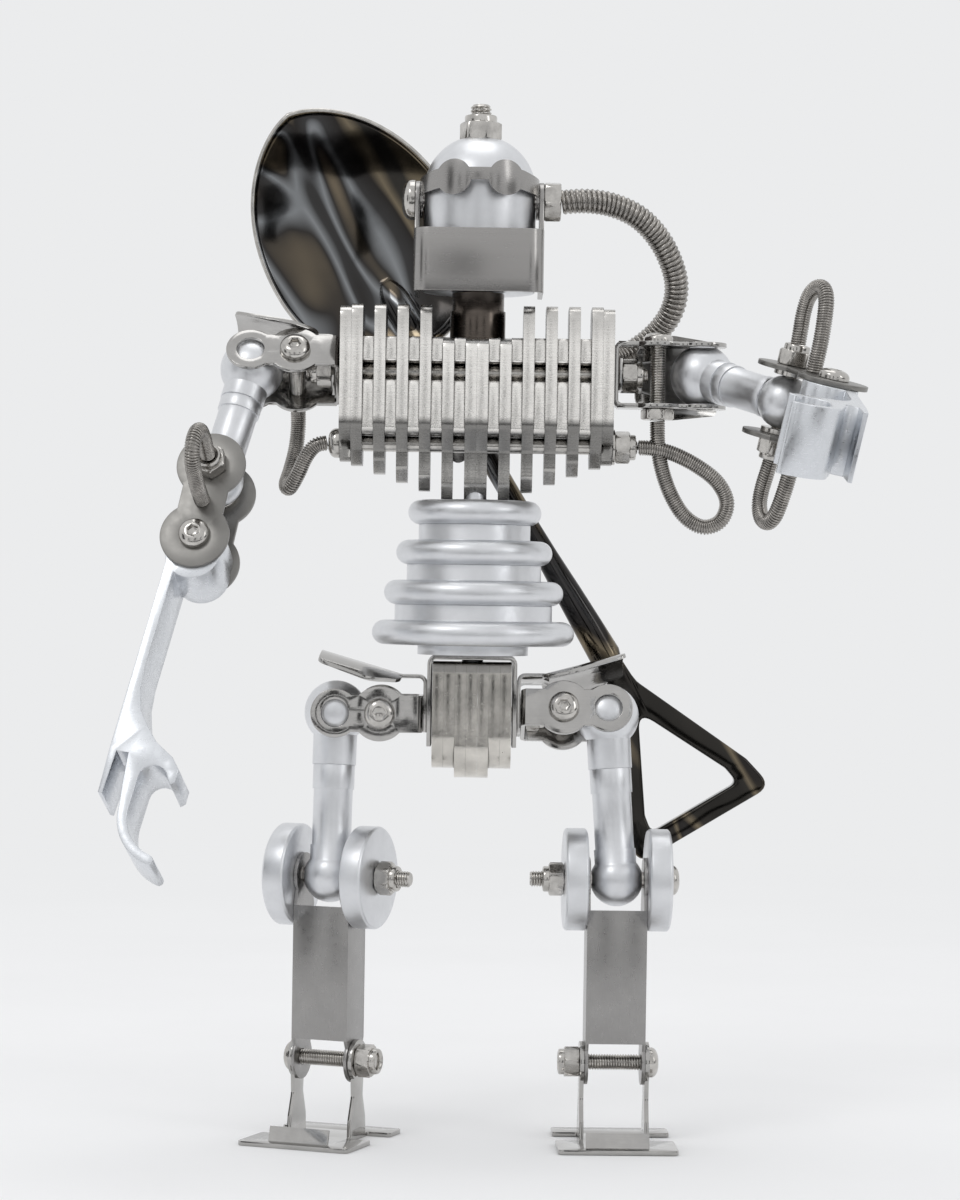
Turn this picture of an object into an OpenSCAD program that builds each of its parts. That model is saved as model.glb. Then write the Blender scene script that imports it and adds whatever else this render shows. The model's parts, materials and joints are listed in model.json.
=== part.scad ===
// Poseable robot figure of turned rods, stacked plates, sheet brackets and fasteners.
// Millimetres. +Z is up, -Y is the front, and the soles stand on z = 0.

/* [Hardware] */
// Diameter of the bolts in the limbs and the torso
bolt_d = 3; // [2.8:0.1:3]
// Width across flats of their nuts
nut_af = 5.5; // [5.2:0.1:5.6]
// Diameter of their button heads
head_d = 5.8; // [5:0.1:6]
// Diameter of the bolts in the head and of the waist stud
big_bolt_d = 4; // [3.8:0.1:4]
// Width across flats of the large nuts
big_nut_af = 7; // [6.6:0.1:7.2]

/* [Head] */
// Diameter of the dome
dome_d = 21.3; // [20.5:0.1:21.4]
// Height of the ear bolt above the floor
ear_z = 177.8; // [177:0.1:178.5]
// Width of the jaw band over its sides
jaw_w = 24.4; // [24.2:0.1:25]
// Height of the jaw band
jaw_h = 11.8; // [10:0.2:13]

/* [Torso] */
// Pitch of the stacked ribs
rib_pitch = 2.154; // [2.1:0.001:2.2]
// Depth of the ribs in front of the shoulder bolt
rib_front = 7.5; // [6.5:0.1:8]
// Depth of the ribs behind it
rib_back = 6; // [5:0.1:6.2]
// Height of the shoulder bolt
shoulder_z = 145.1; // [144:0.1:146]
// Height of the chest bolt
chest_z = 131.4; // [131:0.1:132]

/* [Waist and pelvis] */
// Diameter of the smallest waist ring
ring_d = 25.3; // [24.5:0.1:26]
// Growth in diameter from one ring to the next
ring_step = 4.37; // [4:0.01:4.6]
// Thickness of a ring's rounded rim
ring_t = 4.6; // [4.2:0.1:4.8]
// Height of the hip bolt
hip_z = 80.3; // [80:0.1:81]

/* [Brackets] */
// Gap between a bracket's two plates
bracket_gap = 10.9; // [10.8:0.02:11]
// Thickness of the bracket sheet
bracket_t = 0.85; // [0.7:0.05:0.95]
// Distance from the shoulder bracket's wall to its ball
shoulder_reach = 16.85; // [16.5:0.05:17.2]
// Distance from the hip bracket's wall to its ball
hip_reach = 16.5; // [16.3:0.05:16.8]

/* [Limbs] */
// Diameter of the clamped balls
ball_d = 12; // [11.9:0.02:12]
// Diameter of the bolted balls at knee and elbow
pin_ball_d = 10; // [9.6:0.1:10]
// Length of an upper arm between its balls
arm_l = 24; // [23:0.5:26]
// Length of a thigh between its balls
thigh_l = 31; // [30:0.5:32]
// Distance between an elbow link's two bolts
elbow_l = 14.4; // [13.8:0.1:15]
// Width of the forearm profile along the elbow bolt
forearm_w = 11.9; // [11:0.1:11.9]
// Diameter of the knee discs
knee_d = 19.3; // [18:0.1:20]
// Distance from knee bolt to ankle bolt
shin_l = 34.5; // [34:0.1:35]

/* [Pose] */
// Pitch of the left and right shoulder brackets, front plate up
shoulder_pitch = [36, 90]; // [0:1:100]
// Lean of the left and right upper arms out of the bracket's plane
arm_tilt = [13, 14]; // [0:1:15]
// Swing of the left and right upper arms in the bracket's plane, inwards
arm_swing = [-14, -37]; // [-60:1:20]
// Twist of the left and right arms below the ball
arm_twist = [2, 4]; // [-20:1:20]
// Turn of the left and right elbow links
link_turn = [4, 11]; // [-40:1:40]
// Turn of the left and right forearms
forearm_turn = [-3, 29]; // [-40:1:40]
// Pitch of the left and right hip brackets, front plate up
hip_pitch = [0, 17]; // [-10:1:30]
// Lean of the left and right thighs out of the bracket's plane
thigh_tilt = [-5, 12]; // [-13:1:13]
// Swing of the left and right thighs in the bracket's plane, inwards
thigh_swing = [-1, -4]; // [-10:1:10]
// Toe-out of the left and right feet
toe_out = [21, 2]; // [-5:1:30]

/* [Shovel] */
// Length of the shovel
shovel_l = 159.6; // [155:0.2:165]
// Lean of the shovel from the vertical
shovel_lean = 31.3; // [25:0.1:35]

/* [Hidden] */
$fn = 48;
figure_at = [-2.1, 37.6, -0.02];
left = 0;
right = 1;
bolt_r = bolt_d / 2;
big_r = big_bolt_d / 2;
hole_gap = 0.08;
nut_gap = 0.02;
hole_r = bolt_r + hole_gap;
big_hole_r = big_r + 0.05;
button_h = 1.8;
nylock_h = 4;
plain_h = 2.1;

// Torso
torso_half = 12 * rib_pitch;
rib_t = rib_pitch - 0.024;
rib_low = 121;
rib_low_slope = 0.36;
long_top = 157.5;
short_top = 151.4;
neck_step_z = 156.7;
jaw_low = ear_z - 18.2;

// Brackets, in the frame of their ball
plate_in = bracket_gap / 2;
plate_out = plate_in + bracket_t;
screw_x = -8.4;
wall_half = 3.5;
seat_r = 2.62;
tab_t = 0.7;
shoulder_ball_x = torso_half + 0.05 + shoulder_reach;
saddle_half = 8.45;
hip_ball_x = saddle_half + tab_t + 0.1 + hip_reach;

// Elbow and knee, in the frames of their bolts
link_in = 6;
link_t = 0.9;
link_out = link_in + link_t;
shin_in = pin_ball_d / 2 + 0.05;
shin_t = 0.6;
shin_out = shin_in + shin_t;
disc_in = shin_out + 0.05;
disc_t = 4.3;
foot_ear_t = 0.8;
foot_ear_in = shin_out + 0.1;
foot_ear_out = foot_ear_in + foot_ear_t;
ankle_z = 14.9;

// Shovel, in its own frame: z along the shaft from the end of the grip
grip_at = [45.4, 13, 59.1];
clip_reach = grip_at[1] - rib_back;
clip_u = 87.7;
shaft_r = 2;
bowl_r = 60;
bowl_u = 134;

satin = "lightgray";
bright = "gainsboro";
steel = "silver";
dark = "dimgray";

// ---- vectors ----
function unit(v) = v / norm(v);
function about_x(a, v) = [v[0], v[1] * cos(a) - v[2] * sin(a), v[1] * sin(a) + v[2] * cos(a)];
function about_y(a, v) = [v[0] * cos(a) + v[2] * sin(a), v[1], v[2] * cos(a) - v[0] * sin(a)];

// A point on a limb rod that hangs from a bracket's ball, on the right-hand side
function rod_point(pitch, swing, tilt, along) =
  about_x(-pitch, about_y(swing, about_x(tilt, [0, 0, -along])));

// ---- outlines ----
// Points of an arc about c from angle a to angle b
function arc(c, r, a, b, n = 8) = [for (i = [0 : n]) c + r * [cos(a + (b - a) * i / n), sin(a + (b - a) * i / n)]];

// One corner of a path, rounded by r
function corner(a, b, c, r, n) =
  let (
    u = unit(a - b),
    v = unit(c - b),
    half = acos(u * v) / 2,
    centre = b + unit(u + v) * r / sin(half),
    from = b + u * r / tan(half) - centre,
    to = b + v * r / tan(half) - centre,
    start = atan2(from[1], from[0]),
    turn = atan2(from[0] * to[1] - from[1] * to[0], from * to)
  )
  [for (i = [0 : n]) centre + r * [cos(start + turn * i / n), sin(start + turn * i / n)]];

// A closed outline from [x, y, corner radius] points
function rounded(p, n = 4) = [
  for (i = [0 : len(p) - 1])
    let (
      here = p[i],
      before = p[(i + len(p) - 1) % len(p)],
      after = p[(i + 1) % len(p)],
      xy = [here[0], here[1]]
    )
    each here[2] == 0
      ? [xy]
      : corner([before[0], before[1]], xy, [after[0], after[1]], here[2], n)
];

// ---- shared pieces ----
module metal(tone) {
  translate(figure_at)
    color(tone)
      children();
}

// Builds on the right-hand side, and mirrors for the left
module on_side(side) {
  mirror([side == left ? 1 : 0, 0, 0])
    children();
}

// Extrudes a (y, z) outline along x, from x0
module along_x(x0, length) {
  translate([x0, 0, 0])
    rotate([90, 0, 90])
      linear_extrude(length)
        children();
}

// Extrudes an (x, z) outline along y, from y0
module along_y(y0, length) {
  translate([0, y0 + length, 0])
    rotate([90, 0, 0])
      linear_extrude(length)
        children();
}

// Points the children's z axis along x
module axis_x() {
  rotate([0, 90, 0])
    children();
}

// Button head that sits on z = 0 and rises to -z, with a hexagon socket
module button_head(d, h) {
  difference() {
    rotate_extrude()
      polygon([[0, 0], [d / 2, 0], [d / 2, -0.3 * h], [0.45 * d, -0.62 * h], [0.36 * d, -0.87 * h], [0.24 * d, -h], [0, -h]]);
    translate([0, 0, -h - 0.1])
      cylinder(d = 0.42 * d, h = 0.6 * h + 0.1, $fn = 6);
  }
}

// Shank from z = 0, with a chamfered end
module shank(r, length) {
  cylinder(r = r, h = length - 0.4);
  translate([0, 0, length - 0.4])
    cylinder(r1 = r, r2 = r - 0.35, h = 0.4);
}

module bolt(r, length, head, h) {
  button_head(head, h);
  shank(r, length);
}

// Shank with both ends chamfered, centred on z = 0
module stud(r, length) {
  shank(r, length / 2);
  mirror([0, 0, 1])
    shank(r, length / 2);
}

// Hexagon nut on z = 0; a lock nut has a round collar above its hexagon
module nut(af, h, r, lock = true) {
  hex_h = lock ? 0.72 * h : h;
  difference() {
    union() {
      cylinder(d = af / cos(30), h = hex_h, $fn = 6);
      if (lock) cylinder(d = 0.9 * af, h = h);
    }
    translate([0, 0, -1])
      cylinder(r = r + nut_gap, h = h + 2);
  }
}

module washer(outer_r, inner_r, h) {
  difference() {
    cylinder(r = outer_r, h = h);
    translate([0, 0, -1])
      cylinder(r = inner_r, h = h + 2);
  }
}

// ---- head ----
dome_top = ear_z + 12.35;
dome_low = jaw_low + 0.8;
crown_seat = dome_top - 0.95;
mask_out = 11.25;
mask_in = 10.72;
mask_y = -2.5;
ear_seat = jaw_w / 2 + 0.05;
jaw_t = 0.9;
jaw_front = -12.4;
spigot_r = 3;
spigot_top = 170;

module head_dome() metal(satin) difference() {
  union() {
    translate([0, 0, dome_top - dome_d / 2])
      sphere(d = dome_d);
    translate([0, 0, dome_low])
      cylinder(d = dome_d, h = dome_top - dome_d / 2 - dome_low);
  }
  translate([0, 0, crown_seat])
    cylinder(r = 6, h = 5);
  translate([0, 0, crown_seat - 7])
    cylinder(r = big_hole_r, h = 8);
  translate([-20, 0, ear_z])
    axis_x()
      cylinder(r = big_hole_r, h = 40);
  translate([0, 0, dome_low - 1])
    cylinder(r = spigot_r + 0.05, h = spigot_top + 1.5 - dome_low);
}

module crown_bolt() metal(steel) {
  translate([0, 0, crown_seat - 6.5])
    shank(big_r, 13.3);
  translate([0, 0, crown_seat])
    nut(big_nut_af, 4.8, big_r);
}

// Strap of the mask seen from the side, from the front strap back to the ear
module mask_side_outline() {
  translate([0, ear_z])
    circle(r = 3.5);
  polygon([[-3, ear_z + 0.35], [-3, ear_z + 3.65], [0, ear_z + 3.45], [0, ear_z - 3]]);
}

// The mask seen from the front: two goggle humps, a bridge and the straps
module mask_front_outline() {
  eye_z = ear_z + 3;
  for (s = [-1, 1]) {
    translate([s * 4.9, eye_z])
      circle(r = 3.3);
    polygon([
      [s * 5, eye_z - 1.9], [s * 8, eye_z - 2], [s * 12, ear_z + 0.2],
      [s * 12, ear_z + 3.4], [s * 8.2, eye_z + 1.6], [s * 5, eye_z + 2]
    ]);
  }
  translate([-4, eye_z - 0.6])
    square([8, 2.3]);
}

module mask_plan(r) {
  translate([0, mask_y])
    circle(r = r);
  translate([-r, mask_y])
    square([2 * r, 6]);
}

module eye_mask() metal(steel) difference() {
  intersection() {
    translate([0, 0, ear_z - 5])
      linear_extrude(16)
        difference() {
          mask_plan(mask_out);
          mask_plan(mask_in);
        }
    union() {
      along_y(-20, 17)
        mask_front_outline();
      along_x(-20, 40)
        mask_side_outline();
    }
  }
  translate([-20, 0, ear_z])
    axis_x()
      cylinder(r = big_hole_r, h = 40);
}

module ear_bolt() metal(steel) {
  translate([-ear_seat, 0, ear_z])
    axis_x()
      bolt(big_r, 2 * ear_seat + 3.1, 7.8, 2.4);
  translate([ear_seat, 0, ear_z])
    axis_x()
      nut(big_nut_af, 3.2, big_r, false);
}

// Plan of the jaw's sheet, open at the back
module jaw_plan(half, front, r) {
  polygon(rounded([[-half, 4, 0], [-half, front, r], [half, front, r], [half, 4, 0]]));
}

module jaw_band() metal(bright) difference() {
  intersection() {
    translate([0, 0, jaw_low])
      linear_extrude(30)
        difference() {
          jaw_plan(jaw_w / 2, jaw_front, 3);
          translate([0, 0.01])
            jaw_plan(jaw_w / 2 - jaw_t, jaw_front + jaw_t, 2.1);
        }
    union() {
      translate([-20, -20, jaw_low])
        cube([40, 40, jaw_h]);
      along_x(-20, 40) {
        translate([0, ear_z])
          circle(r = 3.6);
        polygon([[-5.5, jaw_low + jaw_h - 1], [-3.4, ear_z], [3.4, ear_z], [3.9, jaw_low + jaw_h - 1]]);
      }
    }
  }
  translate([-20, 0, ear_z])
    axis_x()
      cylinder(r = big_hole_r, h = 40);
}

// ---- torso ----
module neck_post() metal(dark) {
  translate([0, 0, short_top])
    cylinder(d = 10.5, h = neck_step_z - short_top);
  translate([0, 0, neck_step_z])
    cylinder(d = 9.9, h = jaw_low - neck_step_z + 0.5);
  translate([0, 0, jaw_low])
    cylinder(r = spigot_r, h = spigot_top - jaw_low);
  translate([0, 0, short_top - 3.9])
    cylinder(r = 1.98, h = 4);
}

// Outline of a long rib in (y, z): an upper lobe in front and a leg set back below it
module rib_outline(top, low) {
  polygon(rounded([
    [-rib_front, top, 2.4], [rib_back - 1, top, 2.4], [rib_back - 1, 139, 2], [rib_back, 136, 2],
    [rib_back, low + 1, 1.6], [rib_back - 2.5, low - 0.01, 1.2], [-0.5, low, 1.4],
    [-3.4, low + 2.6, 1.4], [-3.6, 130, 1.5], [-rib_front, 134.6, 2.2]
  ]));
}

module bolt_holes(x0, length) {
  for (z = [shoulder_z, chest_z])
    translate([x0 - 1, 0, z])
      axis_x()
        cylinder(r = hole_r, h = length + 2);
}

// One rib centred on x
module rib(x, top) {
  low = rib_low + rib_low_slope * max(0, abs(x) - 2.5 * rib_pitch);
  difference() {
    along_x(x - rib_t / 2, rib_t)
      rib_outline(top, low);
    bolt_holes(x - rib_t / 2, rib_t);
  }
}

module long_ribs() metal(steel) {
  for (s = [-1, 1]) {
    for (k = [2 : 5])
      rib(s * (0.5 + 2 * k) * rib_pitch, long_top);
    rib(s * 11.5 * rib_pitch, long_top - 0.4);
  }
}

module centre_ribs() metal(steel) difference() {
  for (s = [-1, 1])
    for (k = [0, 1])
      rib(s * (0.5 + 2 * k) * rib_pitch, short_top);
  translate([0, 0, short_top - 4.2])
    cylinder(r = 2, h = 5);
  translate([0, 0, rib_low - 1])
    cylinder(r = big_hole_r, h = 7.3);
}

module short_ribs() metal(bright) difference() {
  for (s = [-1, 1])
    for (k = [0 : 4])
      translate([s * (1.5 + 2 * k) * rib_pitch, 0, 0])
        difference() {
          along_x(-rib_t / 2, rib_t)
            polygon(rounded([
              [-rib_front + 0.7, short_top, 0.8], [rib_back - 1.6, short_top, 1.5],
              [rib_back - 1.6, chest_z + bolt_r + 0.02, 1.5], [-rib_front + 0.7, chest_z + bolt_r + 0.02, 1.6],
              [-rib_front + 0.7, shoulder_z - hole_r, 1.3], [0, shoulder_z - hole_r, 0],
              [0, shoulder_z + hole_r, 0], [-rib_front + 0.7, shoulder_z + hole_r, 0.5]
            ]));
          bolt_holes(-2, 4);
        }
  translate([0, 0, short_top - 4.2])
    cylinder(r = 2, h = 5);
}

module chest_bolt() metal(steel) {
  translate([-torso_half - 0.02, 0, chest_z])
    axis_x()
      bolt(bolt_r, 2 * torso_half + 4.8, head_d, button_h + 0.3);
  translate([torso_half + 0.02, 0, chest_z])
    axis_x() {
      washer(3.4, bolt_r + nut_gap, 0.5);
      translate([0, 0, 0.52])
        nut(nut_af, nylock_h, bolt_r);
    }
}

module shoulder_bolt() metal(steel) translate([0, 0, shoulder_z]) {
  axis_x()
    stud(bolt_r, 2 * (shoulder_ball_x + screw_x - bolt_r - 0.4));
  for (side = [left, right])
    on_side(side)
      translate([shoulder_ball_x - shoulder_reach + bracket_t + tab_t + 0.1, 0, 0])
        axis_x()
          nut(nut_af, nylock_h, bolt_r);
}

// ---- shovel on the back ----
module shovel_frame() {
  translate(grip_at)
    rotate([0, -shovel_lean, 0])
      children();
}

// Spring clip on the back of the centre ribs, with two prongs that take the shaft
module shovel_clip() metal(steel) shovel_frame() translate([0, -clip_reach, clip_u]) {
  along_y(0.02, 0.8)
    polygon(rounded([[-6.5, -3.5, 1.5], [6.5, -3.5, 1.5], [6.5, 3.5, 1.5], [-6.5, 3.5, 1.5]]));
  for (s = [-1, 1]) {
    mirror([s < 0 ? 1 : 0, 0, 0])
      translate([shaft_r + 0.05, 0.5, -3.5])
        cube([0.7, clip_reach + 1.1, 7]);
    translate([s * 4.7, 0.8, 0])
      rotate([90, 0, 0])
        button_head(2.6, 1);
  }
}

module bowl_outline() {
  polygon(concat(
    [[-shaft_r, bowl_u - 31]],
    [for (a = [0 : 9 : 81]) [-(shaft_r + 17.5 * sin(a)), bowl_u - 4 - 23 * cos(a)]],
    [for (a = [0 : 9 : 90]) [-19.5 * cos(a), bowl_u - 4 + (shovel_l - bowl_u + 4) * sin(a) * (1 - 0.05 * sin(2 * a))]],
    [for (a = [81 : -9 : 0]) [19.5 * cos(a), bowl_u - 4 + (shovel_l - bowl_u + 4) * sin(a) * (1 - 0.05 * sin(2 * a))]],
    [for (a = [81 : -9 : 0]) [shaft_r + 17.5 * sin(a), bowl_u - 4 - 23 * cos(a)]],
    [[shaft_r, bowl_u - 31]]
  ));
}

// The D-shaped grip: two arms and a cross bar
module grip() {
  difference() {
    along_y(-2, 4)
      polygon(rounded([[-15, 0, 3], [15, 0, 3], [13.5, 7, 4], [2.4, 31, 4], [2.2, 40, 0], [-2.2, 40, 0], [-2.4, 31, 4], [-13.5, 7, 4]]));
    along_y(-3, 6)
      polygon(rounded([[-9.6, 4, 1.5], [9.6, 4, 1.5], [9, 7.5, 2.5], [0, 25.5, 1.8], [-9, 7.5, 2.5]]));
  }
}

module shovel() metal(dark) shovel_frame() {
  grip();
  translate([0, 0, 36])
    cylinder(r1 = 2.9, r2 = shaft_r, h = 31);
  translate([0, 0, 66])
    cylinder(r = shaft_r, h = 46);
  intersection() {
    translate([0, 6.2 - bowl_r, bowl_u - 1])
      difference() {
        sphere(r = bowl_r, $fn = 96);
        sphere(r = bowl_r - 1, $fn = 96);
      }
    along_y(-10, 20)
      bowl_outline();
  }
}

// ---- waist ----
ring_gap = 3;
ring_pitch = ring_t + ring_gap;
ring_1_low = rib_low - 0.2 - ring_t;

// Ring number n: a round-rimmed disc with the smaller hub that carries the ring above it
module waist_ring(n, hub_d, hub_h) {
  d = ring_d + ring_step * (n - 1);
  low = ring_1_low - ring_pitch * (n - 1);
  metal(satin) difference() {
    union() {
      translate([0, 0, low + ring_t / 2])
        rotate_extrude() {
          translate([d / 2 - ring_t / 2, 0])
            intersection() {
              circle(d = ring_t);
              translate([-0.01, -ring_t])
                square([ring_t, 2 * ring_t]);
            }
          translate([0, -ring_t / 2])
            square([d / 2 - ring_t / 2, ring_t]);
        }
      translate([0, 0, low + ring_t])
        cylinder(d = hub_d, h = hub_h);
    }
    translate([0, 0, low - 1])
      cylinder(r = big_hole_r, h = ring_t + hub_h + 2);
  }
}

module waist_ring_1() waist_ring(1, 10, 0.18);
module waist_ring_2() waist_ring(2, ring_d - 4.1, ring_gap);
module waist_ring_3() waist_ring(3, ring_d + 0.2, ring_gap);
module waist_ring_4() waist_ring(4, ring_d + 4.6, ring_gap);

saddle_top = 91.55;
saddle_t = 0.85;

module waist_stud() metal(satin) {
  translate([0, 0, 84.2])
    shank(big_r, 42.6);
  translate([0, 0, saddle_top])
    cylinder(d = 21, h = ring_1_low - 3 * ring_pitch - saddle_top);
}

// ---- pelvis ----
module pelvis_saddle() metal(steel) difference() {
  along_y(-6.2, 12.4)
    difference() {
      polygon(rounded([
        [-saddle_half, 74.3, 0], [-saddle_half, saddle_top, 1.6],
        [saddle_half, saddle_top, 1.6], [saddle_half, 74.3, 0]
      ]));
      translate([0, -0.01])
        polygon(rounded([
          [-saddle_half + saddle_t, 74.3, 0], [-saddle_half + saddle_t, saddle_top - saddle_t, 0.7],
          [saddle_half - saddle_t, saddle_top - saddle_t, 0.7], [saddle_half - saddle_t, 74.3, 0]
        ]));
    }
  translate([0, 0, 88])
    cylinder(r = big_hole_r, h = 6);
  translate([-20, 0, hip_z])
    axis_x()
      cylinder(r = hole_r, h = 40);
}

plate_pitch = 2.13;

module pelvis_plates() metal(steel) difference() {
  for (k = [-3 : 3]) {
    low = abs(k) < 2 ? 68.3 : 70.1;
    along_x((k - 0.5) * plate_pitch + 0.01, plate_pitch - 0.02)
      polygon(rounded([
        [-7.6, saddle_top - saddle_t - 0.4, 2.6], [6.2, saddle_top - saddle_t - 0.4, 2.6],
        [6.2, low + 2, 2], [4, low, 1.5], [-7.6, low, 6.5]
      ], 8));
  }
  translate([0, 0, 84])
    cylinder(r = big_hole_r, h = 10);
  translate([-20, 0, hip_z])
    axis_x()
      cylinder(r = hole_r, h = 40);
}

module hip_bolt() metal(steel) translate([0, 0, hip_z]) {
  axis_x()
    stud(bolt_r, 2 * (hip_ball_x + screw_x - bolt_r - 0.3));
  for (side = [left, right])
    on_side(side)
      translate([hip_ball_x - hip_reach + bracket_t + 0.05, 0, 0])
        axis_x()
          nut(nut_af, nylock_h - 0.3, bolt_r);
}

// ---- ball brackets, in the frame of their ball with the wall towards -x ----
module lobed_plate(reach) {
  difference() {
    union() {
      circle(r = 4.6);
      translate([screw_x, 0])
        circle(r = 5.2);
      translate([-reach + 0.8, -wall_half])
        square([reach - 0.8, 2 * wall_half]);
    }
    circle(r = seat_r);
    translate([screw_x, 0])
      circle(r = hole_r);
  }
}

module bracket(reach) {
  for (s = [0, 1])
    mirror([0, s, 0])
      along_y(plate_in, bracket_t)
        lobed_plate(reach);
  difference() {
    translate([-reach, 0, -wall_half])
      linear_extrude(2 * wall_half)
        difference() {
          polygon(rounded([[0, -plate_out, 1.5], [2.5, -plate_out, 0], [2.5, plate_out, 0], [0, plate_out, 1.5]]));
          polygon(rounded([[bracket_t, -plate_in, 0.7], [3, -plate_in, 0], [3, plate_in, 0], [bracket_t, plate_in, 0.7]]));
        }
    translate([-reach - 1, 0, 0])
      axis_x()
        cylinder(r = hole_r, h = 3);
  }
}

// Screw through the bracket's screw lobes, head on the front plate
module bracket_screw() {
  translate([screw_x, -plate_out - 0.02, 0])
    rotate([-90, 0, 0]) {
      bolt(bolt_r, 2 * plate_out + plain_h, head_d, button_h);
      translate([0, 0, 2 * plate_out + 0.04])
        nut(nut_af, plain_h, bolt_r, false);
    }
}

// Curved leaf of sheet on a tab that the bracket's bolt clamps; tab_x is the tab's inner face,
// rise is the height of the leaf's root and slope is its angle
module leaf(tab_x, rise, slope) {
  leaf_r = 17;
  leaf_at = [-12.6, 0, rise];
  tab_w = 3;
  difference() {
    along_y(-tab_w, 2 * tab_w)
      polygon(rounded([
        [tab_x, -wall_half, 0], [tab_x + tab_t, -wall_half, 0], [tab_x + tab_t, rise - tab_t, 0.9],
        [leaf_at[0] + 1.5, rise - tab_t, 0], [leaf_at[0] + 1.5, rise, 0], [tab_x, rise, 1.6]
      ]));
    translate([tab_x - 1, 0, 0])
      axis_x()
        cylinder(r = hole_r, h = 3);
  }
  translate(leaf_at)
    rotate([0, -slope, 0])
      intersection() {
        translate([0, 0, -leaf_r])
          axis_x()
            difference() {
              cylinder(r = leaf_r, h = 17, $fn = 96);
              translate([0, 0, -1])
                cylinder(r = leaf_r - tab_t, h = 19, $fn = 96);
            }
        translate([0, 0, -5])
          linear_extrude(10)
            polygon(rounded([
              [0, -5.4, 2.5], [5.5, -8.3, 6], [16, -7, 1.2], [16, 7, 1.2], [5.5, 8.3, 6], [0, 5.4, 2.5]
            ]));
      }
}

// ---- limbs that hang from a bracket ----
module shoulder_frame(side) {
  on_side(side)
    translate([shoulder_ball_x, 0, shoulder_z])
      rotate([-shoulder_pitch[side], 0, 0])
        children();
}

module hip_frame(side) {
  on_side(side)
    translate([hip_ball_x, 0, hip_z])
      rotate([-hip_pitch[side], 0, 0])
        children();
}

module arm_frame(side) {
  shoulder_frame(side)
    rotate([0, arm_swing[side], 0])
      rotate([arm_tilt[side], 0, 0])
        children();
}

module elbow_frame(side) {
  arm_frame(side)
    rotate([0, 0, arm_twist[side]])
      translate([0, 0, -arm_l])
        rotate([0, link_turn[side], 0])
          children();
}

module forearm_frame(side) {
  elbow_frame(side)
    translate([0, 0, -elbow_l])
      rotate([0, forearm_turn[side], 0])
        children();
}

module thigh_frame(side) {
  hip_frame(side)
    rotate([0, thigh_swing[side], 0])
      rotate([thigh_tilt[side], 0, 0])
        children();
}

// The knee's frame stands level, turned out with the foot
module knee_frame(side) {
  on_side(side)
    translate([hip_ball_x, 0, hip_z] + rod_point(hip_pitch[side], thigh_swing[side], thigh_tilt[side], thigh_l))
      rotate([0, 0, toe_out[side]])
        children();
}

// Upper ball with its collar, down to the twist seam, and the pivot pin inside the rod
module rod_ball(seam) {
  sphere(d = ball_d);
  translate([0, 0, -seam])
    cylinder(r = 4.15, h = seam - 3);
  translate([0, 0, -seam - 4])
    cylinder(r = 2, h = 5);
}

// Lower part of a rod, from the seam to the bolted ball; steps are [from, to, radius]
module rod_body(seam, length, steps) {
  difference() {
    union() {
      for (s = steps)
        translate([0, 0, -s[1]])
          cylinder(r = s[2], h = s[1] - s[0]);
      translate([0, 0, -length])
        sphere(d = pin_ball_d);
    }
    translate([0, 0, -seam - 4.2])
      cylinder(r = 2.05, h = 5);
  }
}

arm_seam = 7.2;
arm_steps = [[7.22, 9.6, 4], [9.6, 18.6, 3.7], [18.6, 20.5, 3.85]];
thigh_seam = 10;
thigh_steps = [[10.02, 14.6, 3.95], [14.6, 25.2, 3.7], [25.2, 28.2, 3.95]];

module arm_ball(side) metal(satin) arm_frame(side) rod_ball(arm_seam);

module arm_rod(side) metal(satin) difference() {
  arm_frame(side)
    rod_body(arm_seam, arm_l, arm_steps);
  elbow_frame(side)
    translate([0, -10, 0])
      rotate([-90, 0, 0])
        cylinder(r = hole_r, h = 20);
}

module link_outline() {
  difference() {
    union() {
      circle(r = 6.45);
      translate([0, -elbow_l])
        circle(r = 6.45);
      translate([-4.25, -elbow_l])
        square([8.5, elbow_l]);
    }
    circle(r = hole_r);
    translate([0, -elbow_l])
      circle(r = hole_r);
  }
}

module elbow_links(side) metal(steel) elbow_frame(side)
  for (s = [0, 1])
    mirror([0, s, 0])
      along_y(link_in, link_t)
        link_outline();

// Elbow stud with a lock nut at each end and thin washers beside the ball, and the forearm's screw
module elbow_bolts(side) metal(steel) elbow_frame(side) {
  rotate([90, 0, 0])
    stud(bolt_r, 2 * (link_out + nylock_h - 0.6));
  for (s = [0, 1])
    mirror([0, s, 0])
      rotate([-90, 0, 0]) {
        translate([0, 0, link_out + 0.02])
          nut(nut_af, nylock_h, bolt_r);
        translate([0, 0, link_in - 1.02])
          washer(3.2, bolt_r + nut_gap, 1);
      }
  translate([0, -link_out - 0.02, -elbow_l])
    rotate([-90, 0, 0]) {
      bolt(bolt_r, 2 * link_out + plain_h + 0.6, head_d, button_h);
      translate([0, 0, 2 * link_out + 0.04])
        nut(nut_af, plain_h, bolt_r, false);
    }
}

// Forearm profile in (x, z) below its bolt: barrel, strip, open slot, hook and long finger
module forearm_outline() {
  translate([0.2, 0])
    circle(r = 5);
  translate([0.4, -3.2])
    circle(r = 5.1);
  polygon(concat(
    [[-4, 0], [-4, -43], [-3.7, -52], [-2.9, -52], [-2.6, -43.6], [-0.4, -43.6], [0.1, -49]],
    arc([10.6, -53.6], 9.9, 180, 251, 10),
    arc([8.6, -62.37], 0.9, 257, 437, 6),
    arc([10.6, -53.6], 8.1, 251, 180, 10),
    arc([5.3, -47.6], 2.7, 180, 18, 8),
    [[8.6, -47.9], [9.4, -47.2], [9.4, -44.8], [7.7, -42.8], [4.1, -40.6], [1.7, -38]],
    [[-0.4, -35.2], [-1.7, -31], [-2.1, -27], [-2.1, 0]]
  ));
}

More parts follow.
